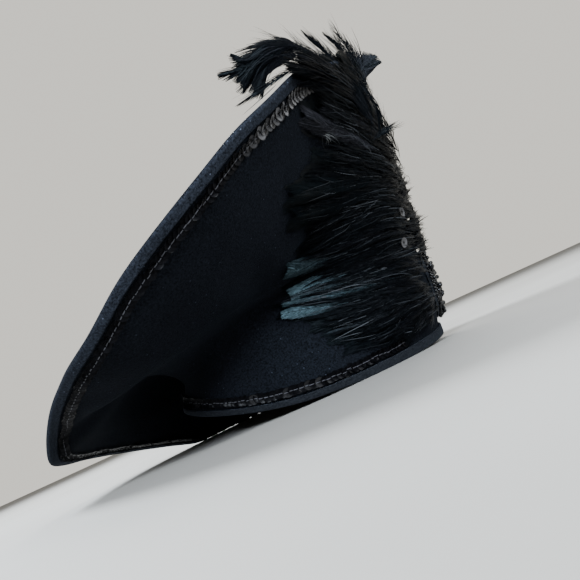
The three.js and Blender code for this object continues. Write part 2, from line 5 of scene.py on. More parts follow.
import bpy
import numpy as np
from mathutils import Matrix, Vector, noise
from mathutils.kdtree import KDTree


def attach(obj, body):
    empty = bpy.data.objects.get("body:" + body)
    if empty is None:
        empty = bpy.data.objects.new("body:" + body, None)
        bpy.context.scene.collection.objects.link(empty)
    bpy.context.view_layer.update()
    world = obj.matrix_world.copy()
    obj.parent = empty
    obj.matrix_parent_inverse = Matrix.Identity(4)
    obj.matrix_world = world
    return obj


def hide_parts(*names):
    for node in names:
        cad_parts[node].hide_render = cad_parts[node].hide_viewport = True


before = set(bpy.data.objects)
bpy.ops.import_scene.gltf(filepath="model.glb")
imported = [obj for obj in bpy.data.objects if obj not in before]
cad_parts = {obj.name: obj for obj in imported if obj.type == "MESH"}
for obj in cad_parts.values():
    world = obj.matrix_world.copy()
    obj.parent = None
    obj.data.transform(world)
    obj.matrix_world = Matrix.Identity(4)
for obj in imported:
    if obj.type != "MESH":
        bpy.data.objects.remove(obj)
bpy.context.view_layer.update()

# All shapes are worked out in the hat's own frame in millimetres: the origin is the middle of the
# head oval, +X the wearer's front, +Y the wearer's left, +Z out of the crown. An azimuth of 0 is
# the front, 90 the wearer's right, 180 the back and 270 the left.
CAP_HALF_LENGTH = 101.0
CAP_HALF_WIDTH = 79.0
CAP_HEIGHT = 105.0
CAP_LEAN = 26.0
CAP_ROUNDNESS = 2.2
RIM_DIP_FRONT = -5.0
RIM_DIP_SIDE = -8.0
RIM_RISE_BACK = 4.0

FELT_THICKNESS = 2.2
CAP_TO_BRIM_GAP = 0.8
SEAM_GAP = 0.9
HEM_EXTRA = 1.7
HEM_STARTS_AFTER_TRIM = 4.5
EDGE_AFTER_TRIM = 11.5
WALL_SAMPLES = 4

TRIM_LIFT = 0.35
RIM_TRIM_FROM = 43
RIM_TRIM_TO = 318
SEQUIN_RADIUS = 4.0
BINDING_THICKNESS = 1.2
BINDING_DROP = 1.4
BINDING_HEIGHT_FRONT = 5.0
BINDING_HEIGHT_BACK = 1.6

BEAD_MOTIF_HALF_WIDTH = 13
BEAD_MOTIF_MIDDLE = 36
BEAD_MOTIF_HALF_HEIGHT = 27
BEAD_MOTIF_DEPTH = 4.5

# How the hat lies on the floor, in degrees, and where the hat's own origin then is, in millimetres
REST_ROLL = 6.49
REST_PITCH = 4.88
HAT_ORIGIN = (22.253, 19.821, 21.702)

BRIM_COLUMNS = [
    "azimuth", "valley", "inner_radius", "inner_height", "outer_radius", "outer_height",
    "trim_radius", "trim_height", "edge_slope", "softness",
]
BRIM_ROWS = [
    [0, 45, 107, 85, 106, 125, 101, 168, 94, 1.0],
    [30, 52, 101, 90, 108, 130, 111, 176, 84, 1.0],
    [46, 56, 94, 88, 108, 128, 121, 179, 72, 1.0],
    [58, 58, 88, 85, 107, 121, 132, 176, 64, 1.0],
    [69, 60, 84, 82, 106, 113, 143, 171, 58, 1.0],
    [82.5, 61, 81, 72, 108, 92, 164, 150.5, 56, 0.8],
    [88.6, 61, 82, 69, 112, 86, 174, 139.5, 56, 0.7],
    [96, 60, 86, 69, 114, 80, 185, 122, 56, 0.6],
    [103, 59, 88, 66, 104, 68, 189, 107, 56, 0.45],
    [113, 55, 95, 62, 115, 59.5, 192.5, 86, 54, 0.4],
    [122, 50, 104, 56, 135, 50, 192, 66, 50, 0.4],
    [130, 46, 108, 51, 153, 43, 190.5, 54.5, 42, 0.4],
    [134.7, 42, 112, 48, 160, 39, 187.5, 49, 36, 0.4],
    [146.6, 33, 118, 42, 172, 32, 187, 32, 14, 0.5],
    [153.6, 28, 120, 40, 168, 31, 190, 21.5, -16, 0.8],
    [156, 26, 120, 40, 170, 23, 191, 12.5, -10, 1.0],
    [165, 22, 120, 39, 168, 13, 187, 4, -10, 1.0],
    [181.6, 18, 116, 37, 157, 6, 177, -6.5, -11, 1.0],
    [196, 18, 110, 34, 149, -3, 169, -18, -13, 1.0],
    [206, 19, 105, 31, 139, -9, 158, -27, -15, 1.0],
    [218, 21, 100, 28, 126, -14, 144, -37, -17, 1.0],
    [235, 23, 98, 22, 124, -18, 144, -38.2, -12, 1.0],
    [250, 25, 96, 22, 124, -18, 148, -38.6, -8, 1.0],
    [262, 27, 95, 26, 124, -12, 151, -37.8, -5, 1.0],
    [274, 30, 94, 34, 124, 2, 151, -34, 2, 1.0],
    [286, 34, 94, 46, 120, 26, 148, -16, 20, 1.0],
    [298, 38, 96, 60, 114, 60, 140, 34, 42, 1.0],
    [310, 41, 98, 72, 110, 92, 128, 90, 60, 1.0],
    [321, 43, 101, 80, 108, 112, 117, 132, 74, 1.0],
    [335, 45, 104, 83, 107, 121, 107, 157, 86, 1.0],
]
BRIM = {name: np.array([row[place] for row in BRIM_ROWS], float) for place, name in enumerate(BRIM_COLUMNS)}

# The camera, in the hat's own frame
EYE = np.array([4.3, -512.0, 62.7])
EYE_RIGHT = np.array([0.942, 0.0, -0.3356])
EYE_UP = np.array([0.3356, 0.0, 0.942])
SENSOR_MM = 36.0

# The photograph's width and the camera's focal length, in the photograph's pixels
PICTURE_WIDTH = 580
FOCAL_PIXELS = 650

TO_ROW = Matrix.Rotation(math.radians(REST_ROLL), 3, "X") @ Matrix.Rotation(math.radians(REST_PITCH), 3, "Y")


def to_row(points):
    """Points of the hat's frame in millimetres, as points of the row's frame in metres."""
    return (np.asarray(points, float) @ np.array(TO_ROW).T + HAT_ORIGIN) / 1000


def unit(vectors):
    return vectors / np.maximum(np.linalg.norm(vectors, axis=-1, keepdims=True), 1e-9)


# Surface of the felt

def hermite(start, end, slope_start, slope_end, step, share):
    square = share * share
    cube = square * share
    return (
        (2 * cube - 3 * square + 1) * start
        + (cube - 2 * square + share) * step * slope_start
        + (3 * square - 2 * cube) * end
        + (cube - square) * step * slope_end
    )


def brim_value(column, azimuth):
    """Value of one column of the brim table at any azimuths, without a seam or an overshoot."""
    places = BRIM["azimuth"]
    values = BRIM[column]
    places = np.concatenate([places[-2:] - 360, places, places[:2] + 360])
    values = np.concatenate([values[-2:], values, values[:2]])
    steps = np.diff(places)
    between = np.diff(values) / steps
    before, after = between[:-1], between[1:]
    weight_before = 2 * steps[1:] + steps[:-1]
    weight_after = steps[1:] + 2 * steps[:-1]
    with np.errstate(divide="ignore", invalid="ignore"):
        calm = (weight_before + weight_after) / (weight_before / before + weight_after / after)
    slopes = np.zeros(len(places))
    slopes[1:-1] = np.where(before * after > 0, calm, 0)
    wanted = np.mod(azimuth, 360)
    index = np.clip(np.searchsorted(places, wanted, side="right") - 1, 1, len(places) - 3)
    share = (wanted - places[index]) / steps[index]
    return hermite(values[index], values[index + 1], slopes[index], slopes[index + 1], steps[index], share)


def cosine_sine(degrees):
    return np.cos(np.radians(degrees)), np.sin(np.radians(degrees))


def rim_height(azimuth):
    front, side = cosine_sine(azimuth)
    return np.where(front > 0, RIM_DIP_FRONT, RIM_RISE_BACK) * front * front + RIM_DIP_SIDE * side * side


def narrowing(share):
    """Width of the cap at a share of its height, as a share of its width at the rim."""
    return np.maximum(1 - share ** CAP_ROUNDNESS, 0) ** (1 / CAP_ROUNDNESS)


def cap_radius(azimuth, height, offset):
    share = np.maximum(height, 0) / CAP_HEIGHT
    half_length = CAP_HALF_LENGTH * narrowing(share) + offset
    half_width = CAP_HALF_WIDTH * narrowing(share) + offset
    middle = CAP_LEAN * share
    cosine, sine = cosine_sine(azimuth)
    square = (cosine / half_length) ** 2 + (sine / half_width) ** 2
    linear = -2 * middle * cosine / half_length ** 2
    constant = (middle / half_length) ** 2 - 1
    return (-linear + np.sqrt(linear ** 2 - 4 * square * constant)) / (2 * square)


def polar(azimuth, radius, height):
    cosine, sine = cosine_sine(azimuth)
    return np.stack([radius * cosine, -radius * sine, height], axis=-1)


def section(azimuth, wall_rows, span_rows, beyond):
    """Middle line of the felt at each azimuth, as a rib of radii and heights.

    wall_rows rows go up the cap, span_rows lie on each curved span, and beyond lists the distances
    past the trim line.
    """
    wall_offset = CAP_TO_BRIM_GAP + FELT_THICKNESS / 2
    low = rim_height(azimuth)
    valley = brim_value("valley", azimuth)
    last_share = (WALL_SAMPLES - 1) / WALL_SAMPLES

    def wall_point(share):
        height = low + (valley - low) * share
        return np.stack([cap_radius(azimuth, height, wall_offset), height], axis=-1)

    def brim_point(name):
        return np.stack([brim_value(name + part, azimuth) for part in ("_radius", "_height")], axis=-1)

    trim = brim_point("trim")
    outwards = np.stack(cosine_sine(brim_value("edge_slope", azimuth)), axis=-1)
    points = [
        wall_point(last_share), wall_point(1.0), brim_point("inner"), brim_point("outer"), trim,
        trim + outwards * EDGE_AFTER_TRIM,
    ]
    spans = [np.linalg.norm(b - a, axis=-1, keepdims=True) for a, b in zip(points, points[1:])]
    straights = [(b - a) / span for a, b, span in zip(points, points[1:], spans)]
    bends = [1, 1, brim_value("softness", azimuth)[..., None], 1]
    slopes = [straights[0]]
    for number, bend in enumerate(bends):
        before, after = spans[number], spans[number + 1]
        slope = (straights[number] * after + straights[number + 1] * before) / (before + after)
        slopes.append(bend * slope)
    rows = [wall_point(last_share * row / wall_rows) for row in range(wall_rows)]
    for number, count in enumerate(span_rows):
        ends = points[number], points[number + 1], slopes[number], slopes[number + 1]
        rows += [hermite(*ends, spans[number], row / count) for row in range(count)]
    rows += [trim + outwards * distance for distance in [0, *beyond]]
    return np.stack(rows, axis=1)


# The felt is mapped for each degree round and each millimetre from the rim, and on past the edge
MAP_WALL_ROWS = 12
MAP_SPAN_ROWS = [4, 12, 16, 24]
MAP_BEYOND = [2.0, 4.0, 6.0, 8.0, 10.0, EDGE_AFTER_TRIM]
MAP_LENGTH = 280

# The felt's slope at a place is taken between points this far before and after it
SLOPE_REACH = 1.5


def read_along(wanted, lengths, values):
    """Each column of values, read at the wanted places of lengths."""
    return np.stack([np.interp(wanted, lengths, column) for column in values.T], axis=-1)


def lengths_along(points):
    """Distance from the first point to each point, along the line through them."""
    return np.concatenate([[0], np.cumsum(np.linalg.norm(np.diff(points, axis=0), axis=1))])


def make_felt_map():
    """Radius and height of the felt at each place of the map, and where the sequin trim crosses it."""
    ribs = section(np.arange(360.0), MAP_WALL_ROWS, MAP_SPAN_ROWS, MAP_BEYOND)
    wanted = np.arange(MAP_LENGTH)
    rows, trim_lengths = [], []
    for rib in ribs:
        lengths = lengths_along(rib)
        past = np.maximum(wanted - lengths[-1], 0)[:, None]
        rows.append(read_along(wanted, lengths, rib) + past * unit(rib[-1] - rib[-2]))
        trim_lengths.append(lengths[-1 - len(MAP_BEYOND)])
    return np.array(rows), trim_lengths


FELT_MAP, TRIM_LENGTHS = make_felt_map()


def trim_distance(azimuth):
    """Distance up the felt from the rim to the sequin trim."""
    return np.interp(np.mod(azimuth, 360), np.arange(361), np.append(TRIM_LENGTHS, TRIM_LENGTHS[0]))


def on_middle(azimuth, distance):
    azimuth = np.mod(np.asarray(azimuth, float), 360)
    distance = np.clip(np.asarray(distance, float), 0, MAP_LENGTH - 1.001)
    column = np.floor(azimuth).astype(int)
    row = np.floor(distance).astype(int)
    across, along = (azimuth - column)[..., None], (distance - row)[..., None]
    following = (column + 1) % 360
    column = column % 360
    near = FELT_MAP[column, row] * (1 - along) + FELT_MAP[column, row + 1] * along
    far = FELT_MAP[following, row] * (1 - along) + FELT_MAP[following, row + 1] * along
    flat = near * (1 - across) + far * across
    return polar(azimuth, flat[..., 0], flat[..., 1])


def on_felt(azimuth, distance, lift):
    """Points on the felt's outer face raised by lift, and the face's normals there."""
    azimuth, distance, lift = np.broadcast_arrays(*(np.asarray(v, float) for v in (azimuth, distance, lift)))
    point = on_middle(azimuth, distance)
    below = np.maximum(distance - SLOPE_REACH, 0)
    along = on_middle(azimuth, distance + SLOPE_REACH) - on_middle(azimuth, below)
    around = on_middle(azimuth + 1, distance) - on_middle(azimuth - 1, distance)
    normal = unit(np.cross(along, around))
    return point + normal * (FELT_THICKNESS / 2 + lift)[..., None], normal


# Meshes

def add_object(name, data):
    made = bpy.data.objects.new(name, data)
    bpy.context.scene.collection.objects.link(made)
    return made


# The lowest height above the floor that the floor presses a point to, in metres
FLOOR_CLEAR = 0.00005


def make_piece(name, points, faces, material, replaced=(), smooth=True, tints=None):
    """A new object on the body root, from points in the hat's frame; the floor presses it flat."""
    mesh = bpy.data.meshes.new(name)
    places = to_row(points)
    places[:, 2] = np.maximum(places[:, 2], FLOOR_CLEAR)
    mesh.from_pydata(places.tolist(), [], faces)
    mesh.materials.append(material)
    if smooth:
        mesh.polygons.foreach_set("use_smooth", [True] * len(mesh.polygons))
    if tints is not None:
        layer = mesh.color_attributes.new("tint", "FLOAT_COLOR", "POINT")
        layer.data.foreach_set("color", np.asarray(tints, float).ravel())
    mesh.update()
    piece = add_object(name, mesh)
    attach(piece, "root")
    if replaced:
        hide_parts(*replaced)


NO_TINT = (0, 0, 0, 1)


class Bundle:
    """Many small shapes gathered into one mesh, each point with a tint."""

    def __init__(self):
        self.points = []
        self.tints = []
        self.faces = []
        self.count = 0

    def add(self, points, faces, tint):
        points = np.asarray(points, float).reshape(-1, 3)
        self.points.append(points)
        self.tints.append(np.broadcast_to(np.asarray(tint, float), (len(points), 4)))
        self.faces.extend(tuple(corner + self.count for corner in face) for face in faces)
        self.count += len(points)

    def keep_off_felt(self, within):
        """Lift the points that are under the felt's outer face, or less than a hair above it."""
        for block in self.points:
            for row, point in enumerate(block.copy()):
                _, nearest, distance = FELT_TREE.find(point)
                if distance > within:
                    continue
                height = (point - FELT_POINTS[nearest]) @ FELT_NORMALS[nearest]
                if height < HAIR_ABOVE_FELT:
                    block[row] += FELT_NORMALS[nearest] * (HAIR_ABOVE_FELT - height)

    def piece(self, name, material, slot, replaced=(), smooth=True):
        points, tints = np.concatenate(self.points), np.concatenate(self.tints)
        make_piece(name, points, self.faces, material, replaced, smooth, tints)


def grid_faces(rows, columns, rows_close=False, columns_close=False):
    """Faces of a grid of points numbered row by row. What closes joins its last points to its first."""
    faces = []
    for row in range(rows if rows_close else rows - 1):
        for column in range(columns if columns_close else columns - 1):
            here, ahead = row * columns, (row + 1) % rows * columns
            other = (column + 1) % columns
            faces.append((here + column, here + other, ahead + other, ahead + column))
    return faces


def turned_over(faces):
    return [face[::-1] for face in faces]


def closed_body(profiles):
    """Points and faces of a ring-shaped body, from the closed profile at each of its ribs."""
    ribs, points = profiles.shape[:2]
    return profiles.reshape(-1, 3), turned_over(grid_faces(ribs, points, True, True))


def sheet_body(front, back):
    """Points and faces of a ring-shaped felt sheet between two grids of ribs."""
    return closed_body(np.concatenate([front, back[:, ::-1]], axis=1))


def even_azimuths(count):
    return np.arange(count) * 360 / count


def circle(sides):
    """Cosines and sines of evenly spaced turns."""
    return cosine_sine(even_azimuths(sides))


def smooth_step(low, high, value):
    share = np.clip((value - low) / (high - low), 0, 1)
    return share * share * (3 - 2 * share)


# Materials

# Sockets of a Mix node when it mixes colours
MIX_FACTOR = 0
MIX_FIRST = 6
MIX_SECOND = 7
MIX_RESULT = 2


def set_inputs(tree, inputs, values):
    """Link each input to the node output given for it, or else set it to the value given."""
    for key, value in values.items():
        if isinstance(value, bpy.types.NodeSocket):
            tree.links.new(value, inputs[key])
        else:
            inputs[key].default_value = value


def add_node(tree, kind, values):
    node = tree.nodes.new("ShaderNode" + kind)
    set_inputs(tree, node.inputs, values)
    return node


def noise_node(tree, place, scale, detail, roughness):
    values = {"Vector": place, "Scale": scale, "Detail": detail, "Roughness": roughness}
    return add_node(tree, "TexNoise", values).outputs["Fac"]


def ramp_node(tree, value, low, dark, high, light, blend="LINEAR"):
    """A colour that goes from dark, where value is low, to light, where it is high."""
    ramp = add_node(tree, "ValToRGB", {"Fac": value})
    ramp.color_ramp.interpolation = blend
    for element, position, colour in zip(ramp.color_ramp.elements, (low, high), (dark, light)):
        element.position = position
        element.color = (*colour, 1)
    return ramp.outputs["Color"]


def mix_node(tree, factor, first, second, blend="MIX"):
    mix = tree.nodes.new("ShaderNodeMix")
    mix.data_type = "RGBA"
    mix.blend_type = blend
    set_inputs(tree, mix.inputs, {MIX_FACTOR: factor, MIX_FIRST: first, MIX_SECOND: second})
    return mix.outputs[MIX_RESULT]


def bump_node(tree, height, strength, distance):
    values = {"Height": height, "Strength": strength, "Distance": distance}
    return add_node(tree, "Bump", values).outputs["Normal"]


def tint_outputs(tree):
    attribute = tree.nodes.new("ShaderNodeAttribute")
    attribute.attribute_name = "tint"
    return attribute.outputs


def new_material(name):
    """A material, its node tree, and the place on the object that its textures follow."""
    material = bpy.data.materials.new(name)
    material.use_nodes = True
    tree = material.node_tree
    return material, tree, tree.nodes.new("ShaderNodeTexCoord").outputs["Object"]


def set_shader(tree, values):
    set_inputs(tree, tree.nodes["Principled BSDF"].inputs, values)


# How many times paler than the felt the loose fibres are that catch the light
FIBRE_PALER = 8
FIBRE_SHARE = (0.7, 0.7, 0.7)
NO_FIBRE = (0.0, 0.0, 0.0)


def felt_material(name, dark, light, sheen_tint, sheen, grain, hem_light=None):
    """Brushed wool felt: a speckled nap, soft clouding, a few pale fibres, a velvet sheen and, on the hem
    where the tint says, painted light.
    """
    material, tree, place = new_material(name)
    nap = noise_node(tree, place, 850, 4.0, 0.75)
    cloud = noise_node(tree, place, 26, 3.0, 0.5)
    clouded = mix_node(tree, 0.3, ramp_node(tree, nap, 0.36, dark, 0.66, light), cloud, "OVERLAY")
    fibres = add_node(tree, "TexVoronoi", {"Vector": place, "Scale": 165}).outputs["Distance"]
    specks = ramp_node(tree, fibres, 0.0, FIBRE_SHARE, 0.085, NO_FIBRE)
    colour = mix_node(tree, specks, clouded, (*[FIBRE_PALER * c for c in light], 1))
    # Painted light: the rolled hem is made paler where the tint says, as if its roll caught the light
    if hem_light is not None:
        lit_hem = mix_node(tree, 1.0, colour, (*hem_light, 1), "MULTIPLY")
        colour = mix_node(tree, tint_outputs(tree)["Fac"], colour, lit_hem)
    set_shader(tree, {
        "Base Color": colour,
        "Roughness": 1.0,
        "Specular IOR Level": 0.03,
        "Sheen Weight": sheen,
        "Sheen Roughness": 0.45,
        "Sheen Tint": (*sheen_tint, 1),
        "Normal": bump_node(tree, nap, 0.55 * grain, 0.0005),
    })
    return material


def gloss_material(name, colour, roughness, scratch, specular, reflection=None):
    """Moulded plastic: a little waviness and fine scratches in the gloss, and a painted reflection colour
    where the tint says.
    """
    material, tree, place = new_material(name)
    tone = noise_node(tree, place, 300, 2.0, 0.5)
    base = ramp_node(tree, tone, 0.35, colour, 0.7, [2.2 * c for c in colour])
    if reflection is not None:
        base = mix_node(tree, tint_outputs(tree)["Fac"], base, (*reflection, 1))
    uneven = {"Value": tone, "To Min": 0.7 * roughness, "To Max": 1.4 * roughness}
    set_shader(tree, {
        "Base Color": base,
        "Roughness": add_node(tree, "MapRange", uneven).outputs["Result"],
        "Specular IOR Level": specular,
        "Normal": bump_node(tree, noise_node(tree, place, 900, 2.0, 0.55), scratch, 0.0003),
    })
    return material


# Each colour of the feathers: where the streaks are dark, that dark, where they are pale, that pale
FEATHER_BLACK = (0.3, (0.0003, 0.0004, 0.0006), 0.75, (0.0013, 0.0017, 0.0023))
# The teal and the violet grey are painted sheen: the light that the feathers throw back, painted into their
# colour
FEATHER_TEAL_SHEEN = (0.25, (0.02, 0.045, 0.05), 0.75, (0.145, 0.225, 0.265))
FEATHER_GREY_SHEEN = (0.25, (0.012, 0.012, 0.015), 0.75, (0.05, 0.05, 0.06))
FEATHER_WHITE = (0.75, 0.78, 0.78, 1)


def feather_material(name):
    """Iridescent feather: black, turned by the tint of each barb to a painted teal sheen, a painted
    violet-grey sheen or white.
    """
    material, tree, place = new_material(name)
    streak = noise_node(tree, place, 420, 3.0, 0.6)
    shares = add_node(tree, "SeparateColor", {"Color": tint_outputs(tree)["Color"]}).outputs
    colour = ramp_node(tree, streak, *FEATHER_BLACK)
    colour = mix_node(tree, shares["Red"], colour, ramp_node(tree, streak, *FEATHER_TEAL_SHEEN))
    colour = mix_node(tree, shares["Green"], colour, ramp_node(tree, streak, *FEATHER_GREY_SHEEN))
    set_shader(tree, {
        "Base Color": mix_node(tree, shares["Blue"], colour, FEATHER_WHITE),
        "Roughness": 0.36,
        "Specular IOR Level": 0.025,
        "Specular Tint": (0.72, 0.92, 1.0, 1),
    })
    return material


# How much paler the rolled hem is painted, in each colour: painted light, where the hem's roll catches the
# light
HEM_PAINTED_LIGHT = (2.55, 2.5, 2.45)
FELT_DARK = (0.0010, 0.0012, 0.0016)
FELT_SHEEN = (0.42, 0.52, 0.72)
FELT_LOOK = felt_material(
    "felt_look", FELT_DARK, (0.0072, 0.0087, 0.0120), FELT_SHEEN, 0.02, 1.0, HEM_PAINTED_LIGHT)
CAP_LOOK = felt_material("cap_felt_look", FELT_DARK, (0.0066, 0.0080, 0.0110), FELT_SHEEN, 0.02, 1.0)
BINDING_LOOK = felt_material(
    "binding_look", (0.0025, 0.003, 0.004), (0.0135, 0.0150, 0.0178), (0.5, 0.6, 0.76), 0.04, 0.6)
# The sequins' pale colour is a painted reflection, laid on by their tint
SEQUIN_LOOK = gloss_material(
    "sequin_look", (0.0012, 0.0012, 0.0015), 0.26, 0.15, 0.03, (0.155, 0.15, 0.15))
BEAD_LOOK = gloss_material("bead_look", (0.002, 0.002, 0.0025), 0.16, 0.05, 0.3)
THREAD_LOOK = gloss_material("thread_look", (0.022, 0.022, 0.025), 0.4, 0.4, 0.2)
FEATHER_LOOK = feather_material("feather_look")


# Felt brim, cap and rim binding

BRIM_RIBS = 480
BRIM_WALL_ROWS = 8
BRIM_SPAN_ROWS = [3, 9, 13, 22]

# Distances past the trim line, close together where the hem steps up and where its edge is round
HEM_ROWS = [1.5, 3.0, 3.9, 4.2, 4.5, 4.9, 5.5, 6.6, 7.9, 8.9, 9.6, 10.1, 10.5, 10.9, 11.2, 11.4, 11.5]
HEM_ROUND = (FELT_THICKNESS + HEM_EXTRA) / 2

# Distances before and after the hem's start that its step and its painted light take up, and a distance
# that stands for all the felt before the trim line
STEP_BEFORE = 0.35
STEP_AFTER = 0.5
HEM_LIGHT_SPREAD = 1.0
BEFORE_TRIM = -5.0

# The felt's slight waves start softly over this many rows, above the wall
WAVE_HEIGHT = 0.45
WAVE_LENGTH = 34
WAVE_START_ROWS = 10

# The table's sections are blended over this many ribs
BLEND_RIBS = 2.6
BLEND_REACH = 6


def brim_offsets(beyond):
    """Distances of the outer and the inner face from the middle line, past the trim line."""
    step = smooth_step(HEM_STARTS_AFTER_TRIM - STEP_BEFORE, HEM_STARTS_AFTER_TRIM + STEP_AFTER, beyond)
    rounding = np.maximum(HEM_ROUND - (EDGE_AFTER_TRIM - beyond), 0)
    bulge = np.sqrt(np.maximum(HEM_ROUND ** 2 - rounding ** 2, 0))
    middle = HEM_EXTRA / 2
    outer = np.where(rounding > 0, middle + bulge, FELT_THICKNESS / 2 + HEM_EXTRA * step)
    inner = np.where(rounding > 0, middle - bulge, -FELT_THICKNESS / 2)
    return outer, inner


def grid_normals(grid):
    around = np.roll(grid, -1, axis=0) - np.roll(grid, 1, axis=0)
    return unit(np.cross(np.gradient(grid, axis=1), around))


def gentle_waves(points, size, height):
    """A smooth random height at each point, in millimetres."""
    values = [noise.noise(Vector(point)) for point in points.reshape(-1, 3) / size]
    return np.array(values).reshape(points.shape[:-1]) * height


def blended_round(values):
    """Values calmed round the ribs, which takes out small kinks between the table's rows."""
    shifts = np.arange(-BLEND_REACH, BLEND_REACH + 1)
    weights = np.exp(-0.5 * (shifts / BLEND_RIBS) ** 2)
    total = sum(weight * np.roll(values, shift, axis=0) for weight, shift in zip(weights, shifts))
    return total / weights.sum()


def make_brim():
    azimuths = even_azimuths(BRIM_RIBS)
    ribs = blended_round(section(azimuths, BRIM_WALL_ROWS, BRIM_SPAN_ROWS, HEM_ROWS))
    sheet = polar(azimuths[:, None], ribs[..., 0], ribs[..., 1])
    normals = grid_normals(sheet)
    rows = sheet.shape[1]
    beyond = np.concatenate([np.full(rows - len(HEM_ROWS), BEFORE_TRIM), HEM_ROWS])
    free = smooth_step(BRIM_WALL_ROWS, BRIM_WALL_ROWS + WAVE_START_ROWS, np.arange(rows))
    waves = gentle_waves(sheet, WAVE_LENGTH, WAVE_HEIGHT) * free
    front, back = (sheet + normals * (offset + waves)[..., None] for offset in brim_offsets(beyond))
    points, faces = sheet_body(front, back)
    # Painted light on the rolled hem, where its roll catches the light
    hem_light = smooth_step(HEM_STARTS_AFTER_TRIM - HEM_LIGHT_SPREAD, HEM_STARTS_AFTER_TRIM + HEM_LIGHT_SPREAD, beyond)
    tints = np.ones((len(points), 4))
    tints[:, :3] = np.tile(np.concatenate([hem_light, hem_light[::-1]]), BRIM_RIBS)[:, None]
    make_piece("felt_brim", points, faces, FELT_LOOK, ["brim"], tints=tints)


CAP_RIBS = 192
CAP_LEVELS = 40


def cap_grid(offset):
    """One face of the cap as ribs from the rim to the top, offset from the outer face."""
    azimuths = even_azimuths(CAP_RIBS)
    length, width, top = CAP_HALF_LENGTH + offset, CAP_HALF_WIDTH + offset, CAP_HEIGHT + offset
    low = rim_height(azimuths)[:, None]
    cosines, sines = cosine_sine(azimuths)
    angle = np.arctan2(sines / width, cosines / length)[:, None]
    heights = low + (top - low) * np.sin(np.linspace(0, np.pi / 2, CAP_LEVELS + 1))
    share = np.clip(heights, 0, None) / top
    across, along = width * narrowing(share), length * narrowing(share)
    ribs = np.stack([CAP_LEAN * share + along * np.cos(angle), -across * np.sin(angle), heights], axis=-1)
    ribs[:, -1] = ribs[0, -1]
    return ribs


def make_crown():
    points, faces = sheet_body(cap_grid(-FELT_THICKNESS), cap_grid(0.0))
    make_piece("felt_cap", points, faces, CAP_LOOK, ["crown"])


def binding_height(azimuth):
    front_share = (1 + np.cos(np.radians(azimuth))) / 2
    return BINDING_HEIGHT_BACK + (BINDING_HEIGHT_FRONT - BINDING_HEIGHT_BACK) * front_share ** 2


# Radii of the binding's rounded upper and lower edges, and the turns of their points
BINDING_TOP_ROUND = 0.45
BINDING_FOOT_ROUND = 0.9
ROUND_TURNS = np.radians([0, 22.5, 45, 67.5, 90])


def make_rim_binding():
    azimuths = even_azimuths(BRIM_RIBS)
    inside, seam = -FELT_THICKNESS, CAP_TO_BRIM_GAP + FELT_THICKNESS + SEAM_GAP
    outside = seam + BINDING_THICKNESS
    low = rim_height(azimuths)
    top = low + binding_height(azimuths)
    under_seam = low - SEAM_GAP
    base = under_seam - BINDING_DROP
    profile = [(inside, under_seam), (seam, under_seam), (seam, top)]
    for turn in ROUND_TURNS:
        across, down = BINDING_TOP_ROUND * (1 - np.sin(turn)), BINDING_TOP_ROUND * (1 - np.cos(turn))
        profile.append((outside - across, top - down))
    for turn in ROUND_TURNS:
        across, rise = BINDING_FOOT_ROUND * (1 - np.cos(turn)), BINDING_FOOT_ROUND * (1 - np.sin(turn))
        profile.append((outside - across, base + rise))
    profile += [(seam / 2, base), (inside, base)]
    rings = [
        polar(azimuths, cap_radius(azimuths, np.maximum(height, low), offset), height)
        for offset, height in profile
    ]
    points, faces = closed_body(np.stack(rings, axis=1))
    make_piece("felt_rim_binding", points, faces, BINDING_LOOK, ["rim_binding"])


# Sequins

SEQUIN_SIDES = 16

# Each ring of a cupped sequin: its radius and its height as shares of the sequin's radius, and how much of
# the painted reflection it takes, which fades to a dark rim of painted shade between the sequins
SEQUIN_RINGS = [
    (0.14, 0.0, 0.0), (0.3, 0.0, 0.7), (0.55, 0.02, 0.95), (0.84, 0.08, 1.0), (0.92, 0.10, 0.45),
    (1.0, 0.13, 0.1),
]

# How much a sequin is folded along the row, how far it is tipped in degrees, and how uneven it is
SEQUIN_FOLD = 0.12
SEQUIN_TIP = 12
SEQUIN_TIP_SPREAD = 4.0
SEQUIN_ROLL_SPREAD = 7.0
SEQUIN_SIZES = (0.96, 1.03)

# Where along the row on the brim the sequins carry a painted reflection; few in the rim's row carry one
REFLECTION_AZIMUTHS = [0, 60, 72, 82, 88, 94, 128, 142, 150, 160, 360]
REFLECTION_SHARES = [0.3, 0.6, 1.0, 0.55, 0.12, 0.0, 0.0, 0.13, 0.06, 0.0, 0.0]
REFLECTION_SPREAD = (0.3, 1.2)
REFLECTION_IN_RIM_ROW = 1.1
UNREFLECTING_SHARE_IN_RIM_ROW = 0.85

# Sequins without a painted reflection are made narrower than those with one, which show their whole width
UNREFLECTING_WIDTH = 0.88
REFLECTING_WIDER = 0.26

# The rows: from one sequin to the next, height off the felt, sway to the sides, and the steps that
# the line and its direction are worked out with
SEQUIN_PITCH = 3.5
PITCH_SPREAD = (0.82, 1.18)
SEQUIN_LIFT = 1.15
ROW_SWAY = 0.25
ROW_STEP = 0.5
ROW_REACH = 1.5

# Each stitch over a sequin's edge: distances along the row and off the felt, and half its width
STITCH = [(-0.4, 0.3), (0.8, 0.75), (2.2, 0.85), (3.4, 0.7)]
STITCH_HALF_WIDTH = 0.28


def sequin_shape(radius, fold):
    """Cupped disc with a small hole; x runs along the row, y across it, z off the felt."""
    shares, rises, reflections = np.array(SEQUIN_RINGS).T[:, :, None]
    cosines, sines = circle(SEQUIN_SIDES)
    y = radius * shares * sines
    z = radius * rises + fold * np.abs(y)
    points = np.stack([radius * shares * cosines, y, z], axis=-1).reshape(-1, 3)
    faces = turned_over(grid_faces(len(SEQUIN_RINGS), SEQUIN_SIDES, columns_close=True))
    return points, faces, np.repeat(reflections, SEQUIN_SIDES)[:, None]


